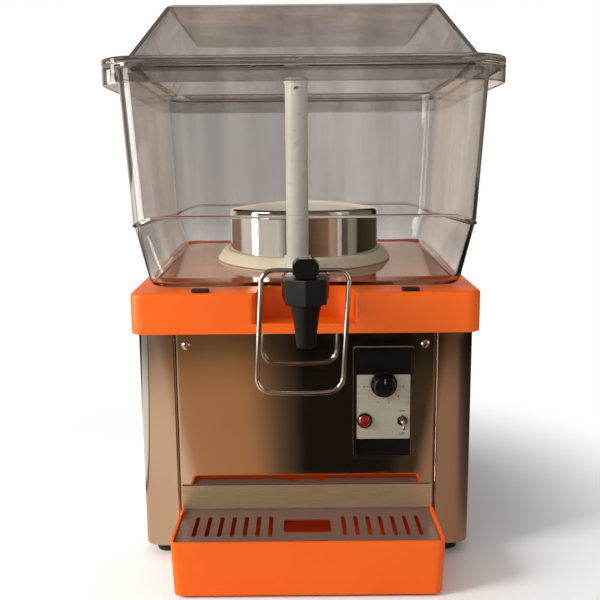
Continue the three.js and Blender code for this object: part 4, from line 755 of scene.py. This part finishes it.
BOWL_TOP = 536.0
BOWL_FRONT = -10.0
BOWL_BACK = 353.0
BOWL_CENTRE = (BOWL_FRONT + BOWL_BACK) / 2
BOWL_WALL = 4.0
RIM_WIDTH = 420.0
RIM_LENGTH = 392.0
RIM_CORNER = 46.0
KINK = 380.0
KINK_DROP = 11.0
BEAD = 1.3
LID_BASE = 539.0
ROOF_LEAN = 42 / 63
PIPE_AT = (-8.0, 62.0, 0.0)
PORT_Z = 309.5


def bowl_under(y, facing=0):
    return deck_top(y) + GAP + GASKET_FOOT + GAP


def bowl_floor(y, facing=0):
    return bowl_under(y) + BOWL_WALL


def kink(y, facing):
    """The height of the bowl's kink, which lies lower on its sides than at the front and the back."""
    return KINK - KINK_DROP * facing


def bowl_level(shape, inset, height_at):
    """A ring of a (width, front, back, corner radius) shape that is moved inwards."""
    width, front, back, radius = shape
    return ring(width - 2 * inset, front + inset, back - inset, radius - inset, height_at)


def bowl_rings(inset, floor_at, top, soft):
    """Rings from the floor to the top; soft is the rounding of the floor's edge."""
    def between(share, low, high, low_at, high_at):
        return bowl_level(
            [a + (b - a) * share for a, b in zip(low, high)], inset,
            lambda y, f: low_at(y, f) + (high_at(y, f) - low_at(y, f)) * share,
        )
    foot = (342, BOWL_FRONT + 19, BOWL_BACK - 20, 30)
    middle = (373, BOWL_FRONT + 11, BOWL_BACK - 8, 38)
    upper = (391, BOWL_FRONT, BOWL_BACK, 38)
    ledge = (375.4, BOWL_FRONT + 9.6, BOWL_BACK - 6.6, 39)
    rings = [
        bowl_level(foot, inset + soft * k, lambda y, f, d=d: floor_at(y, f) + soft * d)
        for k, d in ((1, 0), (0.62, 0.08), (0.25, 0.33))
    ]
    rings += [between(share, foot, middle, floor_at, kink) for share in (0.02 + 0.02 * soft, 0.5, 0.985)]
    for step in range(7 if inset == 0 else 1):
        turn = (step / 6 - 0.5) * PI
        rings.append(bowl_level(
            ledge, inset - BEAD * math.cos(turn),
            lambda y, f, t=turn: kink(y, f) + BEAD * (1 + math.sin(t)),
        ))
    rings += [between(share, ledge, upper, kink, lambda y, f: BOWL_TOP) for share in (0.5, 1.0)]
    if top > BOWL_TOP:
        rings.append(between(1.0, ledge, upper, kink, lambda y, f: top))
    return rings


def rim_loft(name, *levels):
    """A body with the rim's outline, through (inset, height) levels."""
    rings = []
    for inset, z in levels:
        width, length = RIM_WIDTH - 2 * inset, RIM_LENGTH - 2 * inset
        outline = rounded(width, length, RIM_CORNER - inset, 14, 0, BOWL_CENTRE)
        rings.append([(x, y, z) for x, y in outline])
    return loft(name, rings)


def boss_outline(inset):
    half = 25 - inset
    top = 324 - inset
    foot = 286 + inset
    radius = 18 - inset
    crown = max(3 - inset, 0.8)
    outline = arc(half - crown, top - crown, crown, 0, PI / 2, 4)
    outline += arc(-half + crown, top - crown, crown, PI / 2, PI, 4)
    outline += arc(-half + radius, foot + radius, radius, PI, 1.5 * PI, 10)
    outline += arc(half - radius, foot + radius, radius, 1.5 * PI, 2 * PI, 10)
    return outline


def make_bowl():
    bowl = loft("bowl_shell", bowl_rings(0, bowl_under, BOWL_TOP, 3))
    band = rim_loft(
        "band", (1.4, 516), (0.75, 516.2), (0.25, 516.8), (0, 517.6), (0, 534.4), (0.4, 535.5), (1.6, 536),
    )
    hollow = rim_loft(
        "hollow", (2.2, 510), (2.2, 516.1), (2.8, 516.5), (3, 517.2), (3, 530), (4, 532.2), (6.5, 533),
    )
    cut(band, hollow)
    rings = bowl_rings(BOWL_WALL, bowl_floor, BOWL_TOP + 6, 4)
    inner = loft("inner", rings)
    boss = loft("boss", [
        [(x, y, z) for x, z in boss_outline(inset)]
        for inset, y in ((1.8, -24), (0.5, -23.5), (0, -22.2), (0, 34))
    ])
    cut(boss, loft("inner_copy", rings))
    channel = prism("channel", boss_outline(BOWL_WALL), -20, 30, "y")
    port = rod("port", 10.3, -40, 6, (0, 0, PORT_Z), "y", 40)
    add(bowl, band, boss)
    cut(bowl, inner, channel, port)
    cut(bowl, rod("hole", 102, 260, 369, DRUM_AT, sides=96))
    foot = bowl_under(0)
    top = bowl_floor(0) + 6
    profile = [(102, foot), (105, foot), (105, top - 1), (104.2, top), (102.8, top), (102, top - 0.8)]
    collar = lathe("collar", profile, DRUM_AT, sides=96, closed=True, slope=DECK_SLOPE)
    pin = lathe("pin", [(0, 308.6), (2, 308.6), (2, 319.4), (1.5, 319.9), (0, 319.9)], PIPE_AT, sides=24)
    add(bowl, collar, pin)
    put(bowl, "bowl", CLEAR, ["bowl"], smooth=22)


def lid_roof(inset, low, high, round_top):
    """The body of the hipped roof, whose walls lean in as they rise from the lid's plate."""
    def level(z, radius, extra=0.0):
        reach = inset + extra + ROOF_LEAN * (z - LID_BASE)
        return ring(
            RIM_WIDTH - 2 * (24 + reach), BOWL_CENTRE - RIM_LENGTH / 2 + 21 + reach,
            BOWL_CENTRE + RIM_LENGTH / 2 - 21 - reach, radius, lambda y, f: z, 8,
        )
    rings = [level(low, 16), level(high - round_top, 8.6)]
    for i in range(1, 5):
        a = i / 4 * PI / 2
        rings.append(level(high - round_top * (1 - math.sin(a)), 8.6, round_top * 0.5 * (1 - math.cos(a))))
    return loft("roof", rings)


def make_lid():
    plate = rim_loft("lid_shell", (0.5, 536.3), (0, 536.8), (0, 540.2), (0.5, 541.4), (1.8, 542))
    under = rim_loft("under", (3, 530), (3, 538), (4, LID_BASE))
    cut(plate, under)
    outer = lid_roof(0, LID_BASE, LID_BASE + 63, 2.5)
    attic = lid_roof(3, LID_BASE - 6, LID_BASE + 60, 1.5)
    width, length, wall = 379.6, 351.6, 2.5
    lip = prism("lip", rounded(width, length, 32.3, 12, 0, BOWL_CENTRE), 529, LID_BASE + GAP)
    hollow = rounded(width - 2 * wall, length - 2 * wall, 32.3 - wall, 12, 0, BOWL_CENTRE)
    cut(lip, prism("hollow", hollow, 520, 550))
    add(plate, outer, lip)
    cut(plate, attic)
    put(plate, "lid", LID_SMOKE_AND_SHADE, ["lid"], smooth=22)


def make_pump():
    tube_profile = [
        (0, 526.5), (9.5, 526.5), (9.5, 328), (12.1, 328), (12.5, 328.4), (12.5, 522.6), (13.1, 523),
        (13.5, 523.4), (13.5, 527), (13, 528.6), (11.6, 529.6), (10, 530), (0, 530),
    ]
    pipe = lathe("spray_pipe", tube_profile, PIPE_AT, sides=48)
    cut(
        pipe,
        box("slot", (-28, 12), (59.5, 64.5), (515, 519)),
        box("slot", (-10.5, -5.5), (42, 82), (515, 519)),
    )
    put(pipe, "bowl", MILKY, ["spray_tube"])
    foot = bowl_under(0)
    cover_profile = [
        (16, foot), (18.5, foot), (18.5, 321), (17.9, 322.6), (15.2, 327), (14.9, 328), (14.9, 333.5),
        (14.4, 334), (12.8, 334), (12.8, 327.7), (9.5, 327.7), (9.5, 320.5), (16, 320.5),
    ]
    cover = lathe("pump_shell", cover_profile, PIPE_AT, sides=48, closed=True)
    slab_foot = ring(200, -100, 200, 10, lambda y, f: 280, 3)
    slab_top = ring(200, -100, 200, 10, lambda y, f: bowl_floor(y) + GAP, 3)
    cut(
        cover,
        box("window", (-28, 12), (56, 68), (297, 316.5)),
        box("window", (-14, -2), (42, 82), (297, 316.5)),
        loft("slab", [slab_foot, slab_top]),
    )
    put(cover, "bowl", MILKY, ["pump_cover"])


# ---------------------------------------------------------------- tap

TAP_Y = -53.0
TAP_AT = (0.0, TAP_Y, 0.0)
PIVOT = (0.0, -62.0, 332.0)


def make_tap():
    body = prism("tap_casting", hexagon(20.5, 0, TAP_Y), 297.5, 323)
    bevel(body, 0.8, 3)
    spout = lathe("spout", [
        (0, 253), (8.6, 253), (9.5, 253.8), (13, 283), (16, 297), (19.8, 297), (20.5, 297.7), (20.5, 300.6),
        (20, 301.3), (0, 301.3),
    ], TAP_AT)
    port_at = (0, TAP_Y, PORT_Z)
    neck = rod("neck", 13, 0, 26.3, port_at, "y", 40)
    spigot = lathe("spigot", [(0, 0), (10, 0), (10, 37.4), (9.4, 38), (0, 38)], port_at, "y", 40)
    add(body, spout, neck, spigot)
    chamber = lathe("chamber", [
        (0, 247), (6, 247), (6, 252.6), (5.9, 254), (5.5, 300), (11, 304), (11, 330), (0, 330),
    ], TAP_AT, sides=40)
    cut(body, chamber, rod("port", 5.6, 0, 44, port_at, "y"))
    put(body, "bowl", BLACK, ["tap_body"])


def make_head():
    half, foot, top, corner = 13, 323.3, 343.3, 5.5
    outline = [
        (-half + corner, foot), (half - corner, foot), (half, foot + corner), (half, top - corner),
        (half - corner, top), (-half + corner, top), (-half, top - corner), (-half, foot + corner),
    ]
    head = prism("tap_bonnet", outline, -68, -41, "y")
    bevel(head, 1.1, 3, 30)
    profile = [(0, 318.3), (10.2, 318.3), (10.7, 318.8), (10.7, 324), (0, 324)]
    plug = lathe("plug", profile, TAP_AT, sides=40)
    add(head, plug)
    stem = rod("stem", 3.1, 300, 350, TAP_AT)
    pocket = box("pocket", (-6.2, 6.2), (-66.2, -30), (327.5, 350))
    cut(head, stem, pocket, rod("wire", 2.8, -26, 26, PIVOT, "x"))
    put(head, "bowl", BLACK, ["tap_head"])


def make_valve_spring():
    """The CAD spring's coil, as a wire with a mesh of its own."""
    low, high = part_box("valve_spring")
    wire, coil, turns, steps = 0.6, 5.6, 4, 96
    foot = low[2] / MM + wire
    rise = (high[2] - low[2]) / MM - 2 * wire
    path = []
    for i in range(steps + 1):
        angle = 2 * PI * turns * i / steps
        path.append((coil * math.cos(angle), TAP_Y + coil * math.sin(angle), foot + rise * i / steps))
    spring = tube("spring_wire", path, wire, 10)
    put(spring, "bowl", CHROME, ["valve_spring"], smooth=50)
    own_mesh(spring)


def make_handle():
    half, drop, lean, roundness = 43.3, 123, 7, 0.55

    def leant(x, z):
        return Vector((x + lean * z / drop, PIVOT[1], PIVOT[2] + z))
    bends = [
        (2, 0, 0), (half, 0, 12), (half, -drop, 15), (0, -drop - 3, 21.6),
        (-half, -drop, 15), (-half, 0, 12), (-2, 0, 0),
    ]
    path = [leant(2, 0)]
    for before, (x, z, radius), after in zip(bends, bends[1:], bends[2:]):
        at = leant(x, z)
        start = at + (leant(*before[:2]) - at).normalized() * radius
        end = at + (leant(*after[:2]) - at).normalized() * radius
        near = start.lerp(at, roundness)
        far = end.lerp(at, roundness)
        for step in range(13):
            t = step / 12
            a, b, c = start.lerp(near, t), near.lerp(far, t), far.lerp(end, t)
            path.append(a.lerp(b, t).lerp(b.lerp(c, t), t))
    path.append(leant(-2, 0))
    wire = tube("handle_rod", path, 2.4, 20)
    put(wire, "handle", CHROME, ["handle_wire"], smooth=50)


# ---------------------------------------------------------------- control panel

PANEL = (84.0, 178.0)
DIAL_FRONT = -2.9
PRINT = 0.1
KNOB_AT = (84.0, DIAL_FRONT, 200.0)
LAMP_AT = (63.5, DIAL_FRONT, 159.0)
TOGGLE_AT = (104.5, DIAL_FRONT, 159.0)


def make_panel():
    frame_ring = prism("bezel_frame", rounded(66, 125, 3, 6, *PANEL), -3.3, -0.3, "y")
    cut(frame_ring, prism("opening", rounded(60, 119, 1, 4, *PANEL), -9, 6, "y"))
    bevel(frame_ring, 0.5, 3)
    put(frame_ring, "cabinet", MIRROR, ["control_bezel"])
    back_plate = prism("panel_plate", rounded(59.4, 118.4, 0.6, 3, *PANEL), -1.8, -0.3, "y")
    face_plate = prism("scale_plate", rounded(58, 72, 1.2, 4, 84, 174), DIAL_FRONT, -2.1, "y")
    for plate in (back_plate, face_plate):
        for (x, _, z), radius in ((KNOB_AT, 4.8), (LAMP_AT, 6.3), (TOGGLE_AT, 3.5)):
            cut(plate, rod("hole", radius, -9, 6, (x, 0, z), "y", 32))
        bevel(plate, 0.2, 2)
    put(back_plate, "cabinet", BLACK, ["control_plate"])
    put(face_plate, "cabinet", SILVER, ["dial_plate"])


def printed(name, words, size, x, z):
    """Small dark figures that stand a tenth of a millimetre proud of the silver plate."""
    curve = bpy.data.curves.new(name, "FONT")
    curve.body = words
    curve.size = size * MM
    curve.align_x = "CENTER"
    curve.align_y = "CENTER"
    curve.extrude = PRINT * MM
    curve.resolution_u = 3
    words_object = place(name, curve)
    bpy.context.view_layer.update()
    mesh = bpy.data.meshes.new_from_object(words_object)
    bpy.data.objects.remove(words_object)
    mesh.transform(Matrix.Translation(to_metres((x, DIAL_FRONT, z))) @ Matrix.Rotation(PI / 2, 4, "X"))
    put(place(name, mesh), "cabinet", BLACK)


def make_scale():
    x, y, z = KNOB_AT
    first, step, inner, numbers_at = 190, 16, 16.2, 21.6
    for i in range(11):
        turn = math.radians(first + step * i)
        long = 2.6 if i % 2 == 0 else 1.6
        along = Vector((math.cos(turn), math.sin(turn)))
        across = Vector((-along.y, along.x)) * 0.25
        start = Vector((x, z)) + along * inner
        end = start + along * long
        outline = [tuple(start - across), tuple(start + across), tuple(end + across), tuple(end - across)]
        tick = prism(f"scale_tick_{i}", outline, y - PRINT, y + PRINT, "y")
        put(tick, "cabinet", BLACK)
        if i % 2 == 0:
            at = Vector((x, z)) + along * numbers_at
            printed(f"scale_number_{i // 2}", str(i // 2), 4.2, at.x, at.y)
    printed("switch_word_on", "ON", 3.6, TOGGLE_AT[0], TOGGLE_AT[2] + 10.5)
    printed("switch_word_off", "OFF", 3.6, TOGGLE_AT[0], TOGGLE_AT[2] - 15.5)


def make_knob():
    x, y, z = KNOB_AT
    back = -2 * GAP
    tip = back - 15
    profile = [(0, tip + 0.4), (8.6, tip + 0.4), (9.2, tip)]
    profile += [
        (10.2 + 0.7 * math.sin(a), tip + 0.7 * (1 - math.cos(a))) for a in (i * PI / 8 for i in range(5))
    ]
    profile += [
        (13, back - 3.2), (14.1, back - 3), (14.5, back - 2.5), (14.5, back - 0.3), (14.2, back), (0, back),
    ]
    knob = lathe("knob_cap", profile, KNOB_AT, "y", 96)
    for i in range(10):
        a = 2 * PI * (i + 0.5) / 10
        at = (x + 13 * math.cos(a), y, z + 13 * math.sin(a))
        cut(knob, rod("flute", 1.5, tip - 3, back - 3.3, at, "y", 16))
    cut(knob, rod("shaft", 3.3, -13, 6, KNOB_AT, "y"))
    put(knob, "knob", BLACK, ["thermostat_knob"])
    line = box("knob_line", (x - 0.4, x + 0.4), (y + tip - 0.05, y + tip + 1), (z + 4, z + 9))
    put(line, "knob", SILVER)


def make_lamp():
    def seated(profile):
        return [(r, h - GAP) for r, h in profile]
    socket = lathe("lamp_socket", seated([
        (0, -1.2), (7.2, -1.2), (7.4, -1.7), (7.9, -1.9), (8.3, -1.6), (8.4, -1.2), (8.4, 0), (6, 0),
        (6, 22), (0, 22),
    ]), LAMP_AT, "y", 48)
    put(socket, "cabinet", BLACK, ["pilot_lamp"])
    dome = [(6.8 * math.sin(a), -1.6 - 4 * math.cos(a)) for a in (i * PI / 16 for i in range(1, 9))]
    lens = lathe("lamp_lens", seated([(0, -5.6), *dome, (6.8, -1.3), (0, -1.3)]), LAMP_AT, "y", 24)
    put(lens, "cabinet", LENS, smooth=12)


def make_toggle():
    x, y, z = TOGGLE_AT
    nut = prism("switch_nut", hexagon(5.5, x, z), y - GAP - 2.2, y - GAP, "y")
    cut(nut, rod("hole", 3.5, -9, 6, TOGGLE_AT, "y", 32))
    bevel(nut, 0.4, 2, 40)
    put(nut, "cabinet", CHROME, ["toggle_nut"])
    profile = [
        (0, -2.4), (1.7, -1.7), (2.4, 0), (1.7, 1.7), (1.3, 2.4), (1.3, 4.3), (1.7, 8), (2.15, 11),
        (2.2, 11.6), (1.9, 12.4), (1.2, 12.9), (0, 13),
    ]
    lever = lathe("switch_lever", profile, (0, -Y_SHIFT, 0), sides=32)
    tilt = Matrix.Rotation(math.radians(90 + 15), 4, "X")
    lever.data.transform(Matrix.Translation(to_metres((x, y - GAP - 7, z))) @ tilt)
    put(lever, "toggle", CHROME, ["toggle_lever"])


# ---------------------------------------------------------------- tray and grille

TRAY_WIDTH = 278.0
TRAY_DEPTH = 90.0


def tray_loft(name, *levels):
    """A body with the tray's tapered outline, through (inset, height) levels."""
    rings = []
    for inset, z in levels:
        side = inset + 2 * (1 - (z - 3) / 58)
        front, back, corner = side - TRAY_DEPTH, -0.6 - inset, max(9 - inset, 0.6)
        rings.append(ring(TRAY_WIDTH - 2 * side, front, back, corner, lambda y, f: z, 8))
    return loft(name, rings)


def make_tray():
    tray = tray_loft("tray_moulding", (1.0, 3), (0.3, 3.3), (0, 4.2), (0, 59.8), (0.3, 60.7), (1.0, 61))
    well = tray_loft("well", (10, 18.2), (7, 19), (6, 22), (6, 70))
    recess = prism("recess", rounded(272, 93, 3, 4, 0, -40.5), 55.5, 70)
    back = box("back", (-150, 150), (-6, 10), (55.5, 70))
    under = tray_loft("under", (3, -4), (3, 15.8))
    slots = [box("slot", (s * 90 - 17, s * 90 + 17), (-84, 10), (-4, 15.8)) for s in (-1, 1)]
    cut(tray, well, recess, back, under, *slots)
    put(tray, "tray", ORANGE, ["drip_tray"])


def make_grille():
    width = TRAY_WIDTH - 7.2
    front, back = -86.4, -1.4
    middle = (front + back) / 2
    sheet = box("grille_sheet", (-width / 2, width / 2), (front, back), (55.8, 57))
    add(sheet, box("upstand", (-138.4, 138.4), (back - 1.2, back), (55.8, 85)))
    cuts = []
    for side in (-1, 1):
        for i in range(7):
            x = side * (118 - i * 13.2)
            cuts.append(prism("slot", rounded(4.6, 46, 2.25, 6, x, middle), 50, 60))
        cuts.append(rod("finger", 9.5, 50, 60, (side * 17, front, 0), sides=32))
    cuts.append(prism("window", rounded(50, 30, 2.5, 5, 0, middle), 50, 60))
    cut(sheet, *cuts)
    bevel(sheet, 0.25, 2, 50)
    put(sheet, "grille", GRILLE, ["drip_grille"])


make_feet()
make_side("side_sheet_left", -1, "side_panel_left")
make_side("side_sheet_right", 1, "side_panel_right")
make_front()
make_screws()
make_gland()
make_deck()
make_drum()
make_gasket()
make_bowl()
make_lid()
make_pump()
make_tap()
make_head()
make_valve_spring()
make_handle()
make_panel()
make_scale()
make_knob()
make_lamp()
make_toggle()
make_tray()
make_grille()

# ---------------------------------------------------------------- stage and light


def stage_floor():
    """A pale floor that keeps the shadow near the object and fades to plain white further off."""
    s = Surface("stage_floor", (0.96, 0.955, 0.95, 1.0), 0.9, extra={"Specular IOR Level": 0.1})
    white = s.make("Emission", {"Color": WHITE})
    far = s.spread(s.distance(), 0, 1, 0.24, 0.6, "SMOOTHSTEP")
    s.end({"Surface": s.mix(s.math("MULTIPLY", far, s.seen()), s.shader, white)})
    bpy.ops.mesh.primitive_plane_add(size=24, location=(0, 0, 0))
    floor = bpy.context.object
    floor.name = "floor"
    floor.data.materials.append(s.material)


def studio_world():
    """Soft light that is stronger from the left, before a white backdrop."""
    world = bpy.data.worlds.new("studio")
    bpy.context.scene.world = world
    s = Nodes(world)
    light = s.tree.nodes["Background"]
    across = s.make("SeparateXYZ", {0: s.make("TexCoord").outputs["Generated"]}).outputs["X"]
    s.feed(light, {"Color": (1.0, 0.985, 0.965, 1.0), "Strength": s.spread(across, 1.0, 0.15, -1, 1)})
    backdrop = s.make("Background", {"Color": WHITE, "Strength": 1.0})
    s.end({"Surface": s.mix(s.seen(), light, backdrop)}, "World Output")


def soft_box(name, at, look, size, power, color):
    data = bpy.data.lights.new(name, "AREA")
    data.shape = "RECTANGLE"
    data.size, data.size_y = size
    data.energy = power
    data.color = color
    lamp = place(name, data)
    lamp.location = at
    lamp.rotation_euler = (Vector(look) - Vector(at)).to_track_quat("-Z", "Y").to_euler()
    return lamp


def card_material(name, stops, strength=1.0, middle=0.0, dim=None):
    """A studio card whose bands of colour follow the angle round the point y = middle.

    Position 0 is behind and a half is in front. dim gives two radii between which the card falls
    to a third of its strength.
    """
    material = bpy.data.materials.new(name)
    s = Nodes(material)
    s.tree.nodes.remove(s.tree.nodes["Principled BSDF"])
    place = s.make("SeparateXYZ", {0: s.make("NewGeometry").outputs["Position"]}).outputs
    turn = s.math("ARCTAN2", place["X"], s.math("MULTIPLY_ADD", place["Y"], -1, middle))
    colors = s.ramp(s.spread(turn, 0, 1, -PI, PI), [(at, srgb(*color)) for at, color in stops])
    if dim:
        strength = s.spread(s.distance(), strength, strength / 3, *dim, "SMOOTHSTEP")
    s.end({"Surface": s.make("Emission", {"Color": colors, "Strength": strength}).outputs[0]})
    return material


def glossy_only(obj):
    obj.visible_camera = False
    obj.visible_diffuse = False
    obj.visible_transmission = False
    obj.visible_shadow = False
    obj.visible_volume_scatter = False


TAN = (232, 196, 164)
BROWN = (186, 134, 90)
BARK = (92, 74, 58)
STONE = (186, 172, 154)
BLUSH = (248, 229, 211)
UMBER = (66, 54, 38)
DARK = (32, 26, 20)
PALE = (250, 245, 236)
SMOKE = (112, 104, 94)


def reflection_cards():
    """Cards round the set, which only reflections see, so that polished steel has something to show."""
    near = card_material("low_card", [
        (0.0, DARK), (0.232, DARK), (0.25, PALE), (0.36, PALE), (0.376, BARK), (0.384, TAN), (0.4625, TAN),
        (0.465, BROWN), (0.483, BROWN), (0.493, BARK), (0.5, DARK), (0.527, DARK), (0.531, UMBER),
        (0.5355, UMBER), (0.5375, (158, 120, 94)), (0.56, (150, 112, 88)), (0.594, (98, 76, 70)),
        (0.66, (62, 54, 50)), (0.74, (46, 43, 39)), (1.0, DARK),
    ], middle=0.3, dim=(0.75, 1.35))
    far = card_material("far_card", [
        (0.0, STONE), (0.045, STONE), (0.06, PALE), (0.078, PALE), (0.09, (165, 138, 118)),
        (0.18, (165, 138, 118)), (0.2, PALE), (0.27, PALE), (0.277, DARK), (0.285, PALE), (0.39, PALE),
        (0.43, SMOKE), (0.47, (88, 72, 60)), (0.54, (108, 80, 64)), (0.6, (148, 114, 90)),
        (0.612, (196, 168, 150)), (0.64, (180, 154, 135)), (0.652, (88, 82, 70)), (0.69, (100, 92, 80)),
        (0.7, (156, 150, 138)), (0.735, (140, 134, 120)), (0.75, (50, 42, 34)), (0.9, (76, 66, 54)),
        (0.93, (118, 108, 97)), (0.955, STONE), (1.0, STONE),
    ], 1.3)
    wall = card_material("wall_card", [
        (0.0, BLUSH), (0.06, BLUSH), (0.08, PALE), (0.12, PALE), (0.16, SMOKE), (0.84, SMOKE),
        (0.865, DARK), (0.922, DARK), (0.935, BLUSH), (1.0, BLUSH),
    ], 1.3)
    high = card_material("high_card", [
        (0.0, PALE), (0.02, PALE), (0.035, DARK), (0.13, DARK), (0.17, SMOKE), (0.83, SMOKE),
        (0.87, DARK), (0.965, DARK), (0.98, PALE), (1.0, PALE),
    ])
    above = card_material("ceiling_card", [(0.0, SMOKE), (1.0, SMOKE)])
    for name, material, inner, outer, foot, top in (
        ("reflection_low", near, 0.01, 1.5, 0.002, 0.004),
        ("reflection_far", far, 1.5, 2.6, 0.002, 0.004),
        ("reflection_foot", far, 2.6, 2.62, 0.004, 0.25),
        ("reflection_wall", wall, 2.6, 2.62, 0.25, 1.0),
        ("reflection_high", high, 2.6, 2.62, 1.0, 2.3),
        ("reflection_roof", above, 0.01, 2.62, 2.3, 2.32),
    ):
        profile = [(inner, foot), (outer, foot), (outer, top), (inner, top)]
        card = lathe(name, [(r / MM, h / MM) for r, h in profile], (0, -Y_SHIFT, 0), closed=True)
        card.data.materials.append(material)
        glossy_only(card)


stage_floor()
studio_world()
soft_box("key", (-2.1, -1.0, 1.3), (0, 0, 0.3), (0.7, 0.7), 55, (1.0, 0.97, 0.93))
soft_box("fill", (1.8, -1.2, 1.0), (0, 0, 0.3), (1.4, 1.4), 3.5, (1.0, 0.97, 0.94))
glossy_only(soft_box("strip_left", (-1.58, -0.28, 0.65), (0, 0, 0.4), (0.32, 1.3), 13, (1.0, 0.98, 0.95)))
glossy_only(soft_box("strip_right", (1.3, -0.9, 0.7), (0, 0, 0.4), (0.2, 1.4), 0.6, (1.0, 0.98, 0.95)))
reflection_cards()
